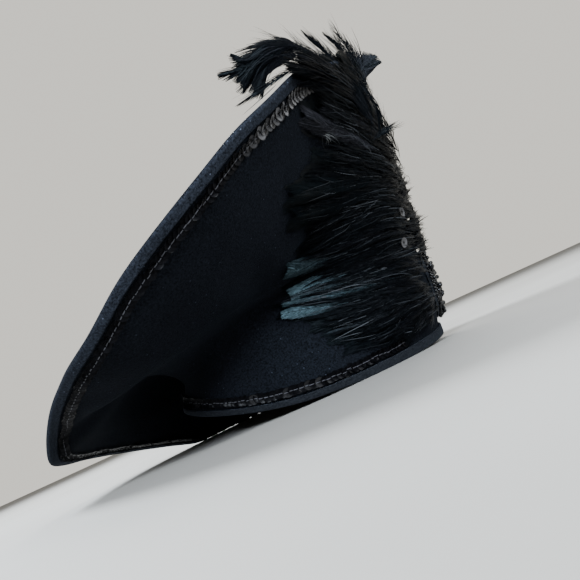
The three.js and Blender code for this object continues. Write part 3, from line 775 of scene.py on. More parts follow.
def add_sequin(bundle, chance, centre, forward, normal, radius, tip, fold, glint):
    side = unit(np.cross(normal, forward))
    forward = np.cross(side, normal)
    tilt = math.radians(tip + chance.gauss(0, SEQUIN_TIP_SPREAD))
    roll = math.radians(chance.gauss(0, SEQUIN_ROLL_SPREAD))
    ahead = forward * math.cos(tilt) + normal * math.sin(tilt)
    up = normal * math.cos(tilt) - forward * math.sin(tilt)
    across = side * math.cos(roll) + up * math.sin(roll)
    points, faces, reflections = sequin_shape(radius * chance.uniform(*SEQUIN_SIZES), fold)
    placed = centre + points @ np.stack([ahead, across, np.cross(ahead, across)])
    tints = np.ones((len(placed), 4))
    # Painted reflection on each ring of the sequin, with a dark rim of painted shade
    tints[:, :3] = glint * reflections
    bundle.add(placed, faces, tints)


def sequin_row(name, azimuths, distances, node, seed):
    """Overlapping sequins along a line on the felt, with the thread that holds them."""
    chance = random.Random(seed)
    line, normals = on_felt(azimuths, distances, SEQUIN_LIFT)
    lengths = lengths_along(line)
    sequins, thread = Bundle(), Bundle()
    place = SEQUIN_PITCH / 2
    while place < lengths[-1]:
        behind, centre, ahead = read_along(place + np.array([-ROW_REACH, 0, ROW_REACH]), lengths, line)
        normal = read_along(place, lengths, normals)
        forward = unit(ahead - behind)
        side = np.cross(normal, forward)
        centre = centre + side * chance.gauss(0, ROW_SWAY)
        # Painted reflection: how pale each sequin is painted, as if it mirrored the light
        reflection = np.interp(np.interp(place, lengths, azimuths), REFLECTION_AZIMUTHS, REFLECTION_SHARES)
        if node == "rim_sequin_trim":
            reflection = REFLECTION_IN_RIM_ROW * max(0, chance.random() - UNREFLECTING_SHARE_IN_RIM_ROW)
        glint = reflection * chance.uniform(*REFLECTION_SPREAD)
        radius = SEQUIN_RADIUS * (UNREFLECTING_WIDTH + REFLECTING_WIDER * min(reflection, 1))
        add_sequin(sequins, chance, centre, forward, normal, radius, SEQUIN_TIP, SEQUIN_FOLD, glint)
        stitch = [
            centre + forward * along + normal * lift + side * shift
            for along, lift in STITCH for shift in (-STITCH_HALF_WIDTH, STITCH_HALF_WIDTH)
        ]
        thread.add(stitch, grid_faces(len(STITCH), 2), NO_TINT)
        place += SEQUIN_PITCH * chance.uniform(*PITCH_SPREAD)
    sequins.piece(name, SEQUIN_LOOK, "sequins", [node])
    thread.piece(name + "_thread", THREAD_LOOK, "sequins")


def make_sequin_rows():
    azimuths = np.arange(0, 360.01, ROW_STEP)
    sequin_row("brim_sequins", azimuths, trim_distance(azimuths), "brim_sequin_trim", 11)
    azimuths = np.arange(RIM_TRIM_FROM, RIM_TRIM_TO, ROW_STEP)
    distances = binding_height(azimuths) + SEAM_GAP + SEQUIN_RADIUS
    sequin_row("rim_sequins", azimuths, distances, "rim_sequin_trim", 12)


# Beads

# The motif's dome: how far its outline narrows towards the ends, its least width there, and the
# height of its edge and of its middle
MOTIF_NARROWING = 0.93
MOTIF_LEAST = 0.02
MOTIF_EDGE_LIFT = TRIM_LIFT + 0.6
MOTIF_RISE = BEAD_MOTIF_DEPTH - 1.2

# Beads in rings from the middle outwards, some of them cut, each sunk a little into the dome
MOTIF_RINGS = 7
MOTIF_FIRST_RING = 0.6
MOTIF_REACH = 0.95
MOST_BEADS = 64
FEWEST_BEADS = 8
CUT_BEAD_RINGS = (1, 4)
CUT_BEAD_RADIUS = 1.75
SEED_BEAD_RADIUS = 1.15
BEAD_SIZES = (0.92, 1.08)
BEAD_SUNK = 0.7
BEAD_TURNS = 6.28

# Stalks of seed beads with a larger one at the top, and the felt ground under them all
STALKS = 120
STALK_REACH = (0.2, 0.99)
STALK_FOOT = 0.8
STALK_HEIGHTS = (0.5, 3.2)
STALK_BEAD_RADIUS = 0.9
STALK_TOP_RADII = (1.5, 1.9)
GROUND_LINES = 22
GROUND_REACH = 0.99
GROUND_LIFT = -0.3


def ball(rings, sides):
    """A round bead of radius 1, with a pole at each end."""
    tilts = np.pi * np.arange(1, rings)[:, None] / rings
    cosines, sines = circle(sides)
    belts = np.stack([np.sin(tilts) * cosines, np.sin(tilts) * sines, np.cos(tilts) + 0 * sines], axis=-1)
    points = np.concatenate([[(0, 0, 1)], belts.reshape(-1, 3), [(0, 0, -1)]])
    belt_faces = turned_over(grid_faces(rings - 1, sides, columns_close=True))
    faces = [tuple(corner + 1 for corner in face) for face in belt_faces]
    last = len(points) - 1
    for side in range(sides):
        other = (side + 1) % sides
        faces += [(0, 1 + side, 1 + other), (last, last - sides + other, last - sides + side)]
    return points, faces


def motif_point(sideways, upwards, lift):
    """Place on the domed bead motif; sideways and upwards run from -1 to 1."""
    width = BEAD_MOTIF_HALF_WIDTH * math.sqrt(max(1 - (upwards * MOTIF_NARROWING) ** 2, MOTIF_LEAST))
    dome = math.sqrt(max(1 - sideways ** 2, 0) * max(1 - upwards ** 2, 0))
    distance = BEAD_MOTIF_MIDDLE + upwards * BEAD_MOTIF_HALF_HEIGHT
    return on_felt(sideways * width, distance, MOTIF_EDGE_LIFT + MOTIF_RISE * dome + lift)


def make_bead_motif():
    chance = random.Random(21)
    seeds = (Bundle(), *ball(5, 8), SEED_BEAD_RADIUS)
    cuts = (Bundle(), *ball(4, 6), CUT_BEAD_RADIUS)
    for ring in range(MOTIF_RINGS):
        bundle, shape, faces, radius = cuts if ring in CUT_BEAD_RINGS else seeds
        share = (ring + MOTIF_FIRST_RING) / MOTIF_RINGS
        count = max(int(MOST_BEADS * share), FEWEST_BEADS)
        for number in range(count):
            angle = 2 * math.pi * (number + 0.5 * (ring % 2)) / count
            across, up = MOTIF_REACH * share * math.cos(angle), MOTIF_REACH * share * math.sin(angle)
            size = radius * chance.uniform(*BEAD_SIZES)
            point, normal = motif_point(across, up, size * BEAD_SUNK)
            turn = np.array(Matrix.Rotation(chance.uniform(0, BEAD_TURNS), 3, Vector(normal)))
            bundle.add(shape * size @ turn.T + point, faces, NO_TINT)
    bundle, shape, faces, _ = seeds
    for _ in range(STALKS):
        reach, angle = chance.uniform(*STALK_REACH), chance.uniform(0, 2 * math.pi)
        point, normal = motif_point(reach * math.cos(angle), reach * math.sin(angle), STALK_FOOT)
        tall = chance.uniform(*STALK_HEIGHTS)
        sizes = (STALK_BEAD_RADIUS, STALK_BEAD_RADIUS, chance.uniform(*STALK_TOP_RADII))
        for step, size in zip((0.0, tall / 2, tall), sizes):
            bundle.add(shape * size + point + normal * step, faces, NO_TINT)
    bundle.piece("motif_seed_beads", BEAD_LOOK, "beads", ["bead_motif"])
    cuts[0].piece("motif_cut_beads", BEAD_LOOK, "beads", smooth=False)
    lines = np.linspace(-GROUND_REACH, GROUND_REACH, GROUND_LINES)
    ground = [motif_point(sideways, upwards, GROUND_LIFT)[0] for upwards in lines for sideways in lines]
    make_piece("motif_ground", ground, grid_faces(GROUND_LINES, GROUND_LINES), BINDING_LOOK)


# Places and curves for the feathers

CURVE_STEPS = 12


def catmull(points, count):
    """Smooth curve through the points, at count places that are evenly spaced."""
    points = np.array(points, float)
    extended = np.concatenate([[2 * points[0] - points[1]], points, [2 * points[-1] - points[-2]]])
    share = np.linspace(0, 1, CURVE_STEPS, endpoint=False)[:, None]
    spans = [
        hermite(b, c, (c - a) / 2, (d - b) / 2, 1, share)
        for a, b, c, d in zip(extended, extended[1:], extended[2:], extended[3:])
    ]
    dense = np.concatenate([*spans, points[-1:]])
    lengths = lengths_along(dense)
    return read_along(np.linspace(0, lengths[-1], count), lengths, dense)


def at_depth(places, depths):
    """Points seen at these places of the picture, at these depths along the hat's Y."""
    across, down = (np.asarray(places, float) - PICTURE_WIDTH / 2).T[:, :, None] / FOCAL_PIXELS
    reach = (np.asarray(depths, float) - EYE[1])[:, None]
    return EYE + reach * (np.array([0.0, 1.0, 0.0]) + across * EYE_RIGHT - down * EYE_UP)


def in_picture(points):
    """The places of the picture where points are seen, with a 0 after each."""
    offsets = points - EYE
    scale = FOCAL_PIXELS / offsets[:, 1]
    across, up = offsets @ EYE_RIGHT * scale, offsets @ EYE_UP * scale
    return np.stack([PICTURE_WIDTH / 2 + across, PICTURE_WIDTH / 2 - up, 0 * up], axis=-1)


def search_tree(points):
    tree = KDTree(len(points))
    for number, point in enumerate(points):
        tree.insert(point, number)
    tree.balance()
    return tree


# Azimuths and distances up the felt that take in all the feathers
NEAR_AZIMUTHS = np.arange(-60, 120, 1.5)
NEAR_DISTANCES = np.arange(2, 215, 2.0)


def felt_near_feathers():
    """Points of the felt's outer face near the feathers, and its normals there."""
    azimuths, distances = np.meshgrid(NEAR_AZIMUTHS, NEAR_DISTANCES, indexing="ij")
    within = distances < trim_distance(azimuths) + EDGE_AFTER_TRIM
    return on_felt(azimuths[within], distances[within], 0)


# Feathers lie at least this high above the felt
HAIR_ABOVE_FELT = 0.6
FELT_POINTS, FELT_NORMALS = felt_near_feathers()
FELT_TREE = search_tree(FELT_POINTS)

# The part of the felt that faces the camera, or very nearly does. Of its points near a place of the
# picture, those further back than the first by more than this depth belong to another fold
LEAST_FACING = -0.05
FACING = (FELT_NORMALS * unit(EYE - FELT_POINTS)).sum(axis=1) > LEAST_FACING
SEEN_DEPTHS = FELT_POINTS[FACING][:, 1]
SEEN_NORMALS = FELT_NORMALS[FACING]
SEEN_TREE = search_tree(in_picture(FELT_POINTS[FACING]))
FOLD_DEPTH = 8
NEAR_POINTS = 5
CALM_REACH = 3


def over_felt(places, lifts):
    """Points lifted off the felt that is seen at these places of the picture, and its normals."""
    depths, normals = [], []
    for place in places:
        found = SEEN_TREE.find_n((*place, 0), NEAR_POINTS)
        numbers = [number for _, number, _ in found]
        in_front = SEEN_DEPTHS[numbers] < SEEN_DEPTHS[numbers].min() + FOLD_DEPTH
        weights = in_front * np.array([1 / (1 + distance * distance) for _, _, distance in found])
        depths.append(np.average(SEEN_DEPTHS[numbers], weights=weights))
        normals.append(np.average(SEEN_NORMALS[numbers], axis=0, weights=weights))
    normals = unit(np.array(normals))
    window = 2 * CALM_REACH + 1
    calm = np.convolve(np.pad(depths, CALM_REACH, "edge"), np.ones(window) / window, "valid")
    return at_depth(places, np.minimum(depths, calm)) + normals * np.asarray(lifts)[:, None], normals


# Feathers

FEATHER_POINTS = 24

# What makes a kind of feather: barbs per millimetre, segments and width of a barb, its angles to the
# quill at the root, near the tip and at the tip, how uneven the barbs are in length, angle and height,
# how they bend and droop, the number of splits, the bare share of the quill, the quill's thickness,
# how far the barbs pass the tip in widths, the width of each side, and the outline as widths at shares
Kind = namedtuple("Kind", [
    "density", "segments", "barb", "angles", "ragged", "stray", "lean", "bend", "droop", "splits",
    "bare", "quill", "over", "hands", "shares", "widths",
])
KINDS = {
    # a smooth glossy vane, whose barbs lie close together
    "vane": Kind(
        1.15, 3, 1.5, (36, 22, 4), 0.08, 0.5, 0.015, 0.3, 0.12, 3, 0.08, 0.8, 0.4, (1.0, 0.85),
        [0, 0.15, 0.4, 0.75, 0.93, 1], [0.3, 0.7, 0.95, 1.0, 0.8, 0.35],
    ),
    # the rounded tip of a smooth vane
    "leaf": Kind(
        1.5, 4, 1.3, (30, 20, 4), 0.05, 0.2, 0.01, 0.35, 0.2, 1, 0.3, 0.7, 0.4, (1.0, 0.9),
        [0, 0.3, 0.55, 0.75, 0.9, 1], [0.3, 0.6, 1.0, 0.95, 0.6, 0.15],
    ),
    # a short wide vane with a rounded end
    "paddle": Kind(
        1.8, 4, 1.2, (50, 38, 18), 0.04, 0.2, 0.01, 0.5, 0.2, 0, 0.3, 0.7, 0.1, (1.0, 1.0),
        [0, 0.3, 0.5, 0.75, 0.9, 1], [0.3, 0.6, 1.0, 0.95, 0.62, 0.15],
    ),
    # a wide soft vane with a ragged edge on one side
    "broad": Kind(
        2.2, 5, 1.0, (88, 70, 55), 0.35, 0.7, 0.03, 0.3, 0.15, 1, 0.3, 0.9, 1.6, (0.12, 1.0),
        [0, 0.45, 0.58, 0.9, 1], [0.04, 0.15, 1.0, 1.0, 0.9],
    ),
    # a long hackle with loose fine barbs
    "hackle": Kind(
        1.1, 3, 0.5, (26, 12, 4), 0.45, 2.0, 0.10, 0.35, 0.05, 3, 0.03, 0.7, 0.4, (1.0, 1.0),
        [0, 0.2, 0.5, 0.8, 1], [0.8, 1.0, 0.8, 0.5, 0.1],
    ),
    # a soft plume of long separate barbs
    "plume": Kind(
        1.3, 5, 0.34, (60, 34, 24), 0.6, 3.5, 0.22, 0.75, 0.10, 4, 0.15, 0.9, 1.2, (1.0, 1.0),
        [0, 0.3, 0.8, 1], [0.5, 0.9, 1.0, 0.6],
    ),
}

# How far from black the painted teal sheen is at the root of a feather, as a share of its full colour, and
# how much of it comes in towards the tip
TEAL_SHEEN_STARTS = -0.4
TEAL_SHEEN_GROWS = 1.35

# A quill's radius, in millimetres, how much of it is lost at the tip, and how much painted teal and grey
# sheen it takes
QUILL_RADIUS = 0.36
QUILL_TAPER = 0.85
QUILL_TEAL_SHEEN = 0.5
QUILL_GREY_SHEEN = 0.12

# How wide the splits of a vane are along the quill, and by how many degrees its barbs turn there
SPLIT_WIDTH = 0.05
SPLIT_TURN = 8

# How a barb's angle goes over from the root's to the tip's, and its limits in degrees
ANGLE_SHARES = [0, 0.85, 1]
ANGLE_LIMITS = (3, 95)
FEWEST_BARBS = 6
LAST_BARB = 0.995
BARB_CURL = 0.35
BARB_TAPER = 0.88


def add_feather(bundle, chance, line, up, kind, width, teal_sheen, grey_sheen):
    """One feather along line, its face looking along up: a quill and barbs on both sides."""
    kind = KINDS[kind]
    along = np.linspace(0, 1, len(line))
    forward = unit(np.gradient(line, axis=0))
    side = unit(np.cross(up, forward))
    up = unit(np.cross(forward, side))
    radius = (QUILL_RADIUS * kind.quill * (1 - QUILL_TAPER * along))[:, None]
    quill = np.stack([line + side * radius, line + up * radius, line - side * radius], axis=1)
    bundle.add(quill, grid_faces(len(line), 3), (teal_sheen * QUILL_TEAL_SHEEN, grey_sheen + QUILL_GREY_SHEEN, 0, 1))

    length = lengths_along(line)[-1]
    count = max(int(length * kind.density), FEWEST_BARBS)
    each = (count, 1, 1)
    steps = np.linspace(0, 1, kind.segments + 1)[None, :, None]
    splits = chance.uniform(0.25, 0.95, kind.splits)
    ribbon = np.array(grid_faces(kind.segments + 1, 2))
    faces = (ribbon + np.arange(count)[:, None, None] * 2 * steps.size).reshape(-1, 4).tolist()
    for hand, hand_width in zip((-1, 1), kind.hands):
        shares = (np.arange(count) + chance.uniform(0.2, 0.8, count)) / count
        shares = kind.bare + (LAST_BARB - kind.bare) * shares
        drift = np.convolve(chance.normal(0, kind.stray, count), np.exp(-np.arange(10) / 4), "same")
        apart = shares[:, None] - splits
        opening = np.sign(apart) * np.maximum(0, 1 - np.abs(apart) / SPLIT_WIDTH)
        opened = np.interp(shares, ANGLE_SHARES, kind.angles) + drift - SPLIT_TURN * opening.sum(axis=1)
        angle = np.radians(np.clip(opened, *ANGLE_LIMITS))
        reach = width * hand_width * np.interp(shares, kind.shares, kind.widths)
        lengths = reach / np.maximum(np.sin(angle), 0.2) * chance.uniform(1 - kind.ragged, 1.03, count)
        lengths = np.minimum(lengths, (1 - shares) * length + width * kind.over)[:, None, None]
        angle = angle[:, None, None]
        root, ahead, aside, lifted = (
            read_along(shares, along, values)[:, None] for values in (line, forward, hand * side, up)
        )
        bend = kind.bend * chance.uniform(0.8, 1.2, each)
        lean = chance.normal(0, kind.lean, each)
        sweep = (ahead * np.cos(angle) + aside * np.sin(angle)) * steps
        sweep = sweep + (ahead - aside * BARB_CURL) * bend * steps ** 2
        off = lifted * (lean * steps ** 1.4 - kind.droop * steps ** 1.7)
        curve = root + (sweep * (1 - 0.3 * bend) + off) * lengths
        twist = chance.normal(0, 0.25, each)
        flat = unit(np.cross(lifted + aside * twist, unit(np.gradient(curve, axis=1))))
        half = 0.5 * kind.barb * chance.uniform(0.75, 1.25, each) * (1 - BARB_TAPER * steps ** 1.5)
        points = np.stack([curve - flat * half, curve + flat * half], axis=2)
        # Painted teal sheen, growing towards the tip, and painted grey sheen of each barb
        grown = np.clip(TEAL_SHEEN_STARTS + shares * TEAL_SHEEN_GROWS, 0.08, 1.2)
        teal_sheens = np.clip(teal_sheen * grown * chance.uniform(0.45, 1.15, count), 0, 1)
        grey_sheens = np.clip(grey_sheen * chance.uniform(0.3, 1.5, count), 0, 1)
        tints = np.stack([teal_sheens, grey_sheens, 0 * teal_sheens, 0 * teal_sheens + 1], axis=-1)
        bundle.add(points, faces, np.repeat(tints, 2 * steps.size, axis=0))


def add_strand(bundle, line, up, width, tint):
    """A single loose barb: one thin ribbon that tapers towards both of its ends."""
    share = np.linspace(0, 1, len(line))
    half = 0.5 * width * np.minimum(1, 0.25 + 5 * share) * (1 - share ** 3 * 0.9)
    flat = unit(np.cross(up, np.gradient(line, axis=0))) * half[:, None]
    bundle.add(np.stack([line - flat, line + flat], axis=1), grid_faces(len(line), 2), (*tint, 1))


# How near the felt the side feathers' points are looked at, to keep them off it
SIDE_CLEAR_WITHIN = 14


def feather_piece(name, bundle, replaced=(), within=SIDE_CLEAR_WITHIN):
    """The bundle as a piece, with its points within this distance of the felt kept off it."""
    bundle.keep_off_felt(within)
    bundle.piece(name, FEATHER_LOOK, "feathers", replaced)


# Where the feathers on the side lie in the picture, from the root to the tip, top ones first
GUIDES = np.array([
    [(382, 138), (364, 104), (352, 76), (336, 46)],
    [(386, 146), (366, 112), (345, 82), (315, 54)],
    [(390, 155), (365, 120), (335, 90), (298, 66)],
    [(393, 162), (366, 132), (338, 112), (303, 92)],
    [(396, 170), (368, 148), (338, 127), (304, 106)],
    [(398, 180), (370, 166), (338, 156), (308, 150)],
    [(401, 190), (372, 182), (335, 184), (292, 193)],
    [(404, 203), (372, 198), (335, 208), (292, 222)],
    [(407, 218), (376, 212), (338, 228), (300, 250)],
    [(411, 234), (380, 238), (340, 252), (286, 268)],
    [(415, 250), (385, 258), (345, 272), (292, 290)],
    [(420, 266), (390, 273), (350, 286), (288, 301)],
    [(425, 282), (395, 288), (352, 302), (284, 313)],
    [(429, 293), (402, 303), (368, 320), (324, 335)],
    [(431, 299), (412, 314), (385, 332), (342, 348)],
    [(432, 304), (422, 318), (412, 331), (400, 342)],
], float)

# How far a path sways off the guides at their four places, as a share, and how finely it is followed
LAST_GUIDE = len(GUIDES) - 1
GUIDE_SWAY = np.array([[0.5], [0.7], [1.0], [1.0]])
GUIDE_POINTS = 60


def laid_path(chance, place, start, end, lift, sway=2.0, count=FEATHER_POINTS):
    """Path over the felt beside the guides, place of the way down them, from start to end."""
    place = min(max(place, 0), LAST_GUIDE - 0.001)
    row = int(place)
    share = place - row
    middle = GUIDES[row] * (1 - share) + GUIDES[row + 1] * share
    line = catmull(middle + chance.normal(0, sway, (4, 2)) * GUIDE_SWAY, GUIDE_POINTS)
    places = read_along(np.linspace(start, end, count), np.linspace(0, 1, GUIDE_POINTS), line)
    lifts = lift * np.interp(np.linspace(0, 1, count), [0, 0.25, 1], [0.6, 1.0, 0.85])
    return over_felt(places, lifts)


SIDE_LAYERS = [
    # kind, start, end, how many, lift, half width, painted teal sheen, painted grey sheen
    ("leaf", (0.0, 0.1), (0.8, 1.0), 40, (1.5, 3.0), (7, 11), 0.015, 0.02),
    ("vane", (0.0, 0.3), (0.5, 0.9), 60, (3.0, 5.0), (4, 7), 0.01, 0.03),
    ("hackle", (0.0, 0.4), (0.5, 0.98), 100, (4.5, 7.0), (3.5, 6), 0.01, 0.05),
    ("hackle", (0.0, 0.1), (0.25, 0.5), 70, (6.0, 8.5), (3, 5), 0.01, 0.06),
]

# Single feathers on the side that stand out: kind, place down the guides, end, lift, half width, painted
# teal sheen and painted grey sheen
SIDE_MARKS = [
    ("leaf", 4.3, 1.0, 7.6, 11.0, 0.0, 0.38),
    ("leaf", 3.3, 0.8, 7.2, 9.0, 0.0, 0.22),
    ("leaf", 6.0, 1.0, 8.0, 15.0, 0.03, 0.0),
    ("leaf", 6.7, 0.98, 8.5, 14.0, 0.02, 0.0),
    ("paddle", 9.0, 1.03, 5.6, 11.0, 0.5, 0.05),
    ("paddle", 10.1, 1.0, 6.2, 10.0, 1.0, 0.0),
    ("paddle", 10.9, 0.95, 5.8, 10.0, 0.75, 0.15),
    ("leaf", 11.5, 0.97, 6.2, 5.0, 0.5, 0.0),
    ("paddle", 12.1, 1.02, 6.2, 6.5, 0.9, 0.0),
    ("hackle", 13.0, 0.98, 6.0, 4.0, 0.15, 0.25),
]


# Where a marked feather starts, as a share of its guide: a paddle's root is covered by the others
MARK_START = 0.1
PADDLE_START = 0.45
# How far the painted teal and grey sheen of each side feather is spread
TINT_SPREAD = (0, 1.8)

# Loose barbs over the side, and a few pale ones that spread like a star from one place of the picture
LOOSE_BARBS = 1500
LOOSE_STARTS = (-0.02, 0.7)
LOOSE_LENGTHS = (0.12, 0.4)
LOOSE_END = 1.05
LOOSE_LIFTS = (5.0, 9.5)
LOOSE_SWAY = 5.0
LOOSE_POINTS = 12
LOOSE_WIDTHS = (0.2, 0.5)
WISPS = 16
WISP_HEADINGS = (-50, 100)
WISP_LENGTHS = (6, 18)
WISP_SPREAD = 6
WISP_BOW = 0.25
WISP_PLACE = np.array([307, 131])
WISP_POINTS = 8
WISP_LIFT = 11.0
WISP_WIDTH = 0.22


def make_side_plumage():
    chance = np.random.default_rng(31)
    for number, (kind, starts, ends, count, lifts, widths, teal_sheen, grey_sheen) in enumerate(SIDE_LAYERS):
        bundle = Bundle()
        for feather in range(count):
            place = LAST_GUIDE * (feather + chance.uniform(0, 1)) / count
            start, end, lift = (chance.uniform(*limits) for limits in (starts, ends, lifts))
            line, up = laid_path(chance, place, start, end, lift)
            tints = [tint * chance.uniform(*TINT_SPREAD) for tint in (teal_sheen, grey_sheen)]
            add_feather(bundle, chance, line, up, kind, chance.uniform(*widths), *tints)
        feather_piece(f"side_feathers_{number + 1}", bundle, ["side_plumage"] if number == 0 else ())
    marks = Bundle()
    for kind, place, end, lift, width, teal_sheen, grey_sheen in SIDE_MARKS:
        start = PADDLE_START if kind == "paddle" else MARK_START
        line, up = laid_path(chance, place, start, end, lift, 0.5)
        add_feather(marks, chance, line, up, kind, width, teal_sheen, grey_sheen)
    feather_piece("side_feathers_marked", marks)
    strands = Bundle()
    for _ in range(LOOSE_BARBS):
        start = chance.uniform(*LOOSE_STARTS)
        place = chance.uniform(0, LAST_GUIDE)
        end = min(start + chance.uniform(*LOOSE_LENGTHS), LOOSE_END)
        lift = chance.uniform(*LOOSE_LIFTS)
        line, up = laid_path(chance, place, start, end, lift, LOOSE_SWAY, LOOSE_POINTS)
        # Painted glint: a few loose barbs are painted grey and pale, as if they caught the light
        glint = chance.uniform() ** 6
        tint = (0.1 * glint, 0.6 * glint, 0.03 * glint ** 2)
        add_strand(strands, line, up, chance.uniform(*LOOSE_WIDTHS), tint)
    share = np.linspace(0, 1, WISP_POINTS)[:, None]
    for _ in range(WISPS):
        heading = math.radians(chance.uniform(*WISP_HEADINGS))
        way = np.array([math.cos(heading), math.sin(heading)]) * chance.uniform(*WISP_LENGTHS)
        root = WISP_PLACE + chance.uniform(0, WISP_SPREAD, 2)
        bow = np.array([-way[1], way[0]]) * chance.uniform(-WISP_BOW, WISP_BOW)
        places = root + way * share + bow * share * (1 - share) * 4
        line, up = over_felt(places, np.full(WISP_POINTS, WISP_LIFT))
        add_strand(strands, line, up, WISP_WIDTH, (0, 0.1, 0.25 * chance.uniform() ** 2))
    feather_piece("side_loose_barbs", strands)


# The feathers at the left of the front: where their roots lie up the felt, the azimuth of the roots,
# how far round they reach, how much they rise on the way and how much painted teal and grey sheen they have
LEFT_FEATHERS = 60
LEFT_ROOTS_FROM = 62
LEFT_ROOTS_SPAN = 96
LEFT_ROOT_AZIMUTH = 19
LEFT_SPREAD = 35
LEFT_RISE = 12
LEFT_SHEEN = 0.1


def make_left_plumage():
    """The feathers that spread from the same roots over the wearer's left of the front."""
    chance = np.random.default_rng(32)
    bundle = Bundle()
    for feather in range(LEFT_FEATHERS):
        root = LEFT_ROOTS_FROM + LEFT_ROOTS_SPAN * (feather + chance.uniform(0.1, 0.9)) / LEFT_FEATHERS
        reach = np.linspace(0, 1, FEATHER_POINTS) * chance.uniform(0.6, 1.0)
        azimuths = LEFT_ROOT_AZIMUTH + chance.uniform(-4, 4) - LEFT_SPREAD * reach
        distances = root + LEFT_RISE * reach - chance.uniform(-2, 5) * np.sin(np.pi * reach)
        lifts = 2.2 + chance.uniform(0, 3) + 3 * np.sin(np.pi * np.minimum(reach, 0.9))
        line, up = on_felt(azimuths, distances, lifts)
        tints = [LEFT_SHEEN * chance.uniform() for _ in range(2)]
        kind = "vane" if feather % 2 else "hackle"
        add_feather(bundle, chance, line, up, kind, chance.uniform(5, 9), *tints)
    feather_piece("side_feathers_left", bundle)


TOP_FEATHERS = [
    # kind, half width, painted teal and grey sheen, places in the picture and depths from the root to the
    # tip
    ("broad", 10, 0, 0.02,
     [(368, 122, -86), (352, 84, -96), (322, 58, -84), (290, 43, -66), (264, 45, -58), (238, 70, -54)]),
    ("paddle", 25, 0, 0.03,
     [(318, 58, -84), (296, 46, -72), (274, 50, -64), (257, 62, -58), (242, 80, -56)]),
    ("paddle", 19, 0, 0.05,
     [(318, 60, -86), (296, 56, -74), (278, 60, -66), (266, 70, -60), (258, 90, -58)]),
    ("vane", 6, 0, 0, [(290, 52, -66), (268, 56, -60), (246, 68, -56), (222, 75, -54)]),
    ("vane", 5, 0, 0, [(290, 46, -66), (268, 48, -60), (250, 60, -56), (233, 56, -54)]),
    ("hackle", 5, 0, 0.05, [(300, 66, -70), (284, 74, -62), (264, 88, -58), (240, 104, -56)]),
    ("plume", 15, 0, 0.03,
     [(368, 116, -90), (346, 82, -98), (316, 64, -84), (292, 56, -70), (272, 60, -62)]),
    ("plume", 13, 0, 0.03,
     [(366, 112, -90), (346, 82, -96), (318, 60, -80), (296, 46, -66), (276, 40, -60)]),
    ("plume", 12, 0, 0.03,
     [(366, 112, -92), (348, 86, -98), (326, 68, -88), (302, 52, -74), (283, 48, -64)]),
    ("hackle", 6, 0, 0, [(362, 112, -90), (352, 84, -92), (330, 57, -78), (303, 32, -66)]),
    ("plume", 7, 0, 0.02, [(362, 108, -90), (350, 82, -90), (334, 60, -78), (312, 38, -68)]),
    ("hackle", 7, 0, 0.03, [(366, 106, -86), (357, 80, -86), (343, 53, -76), (325, 34, -66)]),
    ("plume", 8, 0, 0.04, [(366, 102, -84), (360, 78, -80), (350, 54, -72), (337, 33, -64)]),
    ("plume", 8, 0, 0.04, [(368, 102, -80), (363, 78, -76), (355, 56, -70), (346, 42, -64)]),
    ("paddle", 21, 0.05, 0.26, [(350, 118, -84), (350, 94, -84), (357, 74, -78), (374, 57, -72)]),
    ("leaf", 8, 0.02, 0.03, [(372, 120, -84), (362, 96, -92), (345, 76, -92), (318, 60, -86)]),
    ("leaf", 8, 0, 0.05,
     [(376, 128, -90), (354, 100, -100), (332, 86, -122), (314, 80, -138), (300, 76, -150)]),
    ("hackle", 6, 0, 0.03,
     [(374, 124, -92), (350, 92, -102), (328, 74, -128), (308, 64, -146), (286, 58, -158)]),
    ("vane", 8, 0, 0.02,
     [(374, 124, -92), (352, 94, -100), (330, 79, -124), (310, 71, -143), (291, 66, -158)]),
    ("vane", 7, 0, 0.03,
     [(374, 120, -92), (352, 88, -100), (334, 70, -122), (318, 61, -136), (302, 57, -146)]),
    ("hackle", 3, 0, 0, [(352, 74, -86), (367, 92, -86), (377, 108, -82), (380, 132, -80)]),
    ("plume", 6, 0, 0.02, [(372, 141, -78), (381, 133, -78), (391, 127, -78)]),
]


# The way the top feathers face, the distance within which they are kept off the felt, and the loose
# strands beside each, which start a little way along it
TOP_FACING = (0.1, -1.0, 0.25)
TOP_CLEAR_WITHIN = 9
TOP_POINTS = 32
STRANDS_EACH = 7
STRAND_SWAY = (5, 5, 4)
STRAND_STARTS = (4, 14)
STRAND_WIDTHS = (0.3, 0.6)


def make_top_plume():
    chance = np.random.default_rng(41)
    bundle = Bundle()
    for kind, width, teal_sheen, grey_sheen, path in TOP_FEATHERS:
        path = catmull(path, TOP_POINTS)
        up = np.tile(TOP_FACING, (len(path), 1))
        add_feather(bundle, chance, at_depth(path[:, :2], path[:, 2]), up, kind, width, teal_sheen, grey_sheen)
        for _ in range(STRANDS_EACH):
            swayed = path + np.linspace(0, 1, len(path))[:, None] * chance.normal(0, STRAND_SWAY)
            swayed = swayed[int(chance.uniform(*STRAND_STARTS)):]
            line = at_depth(swayed[:, :2], swayed[:, 2])
            strand_width = chance.uniform(*STRAND_WIDTHS)
            # Painted glint: some loose strands are painted grey, as if they caught the light
            add_strand(bundle, line, up[:len(line)], strand_width, (0, 0.3 * chance.uniform() ** 3, 0))
    feather_piece("top_feathers", bundle, ["top_plume"], TOP_CLEAR_WITHIN)


# The two single sequins: azimuth, distance up the felt and lift of each. They hang this much further
# out than the solids, clear of the barbs
DROP_SEQUINS = [("drop_sequin_upper", 27, 96, 6.6), ("drop_sequin_lower", 29, 75, 7.2)]
DROP_SEQUIN_CLEAR = 0.8
DROP_SEQUIN_FOLD = 0.05
# How pale the drop sequins are painted: a painted reflection
DROP_SEQUIN_REFLECTION = 0.4


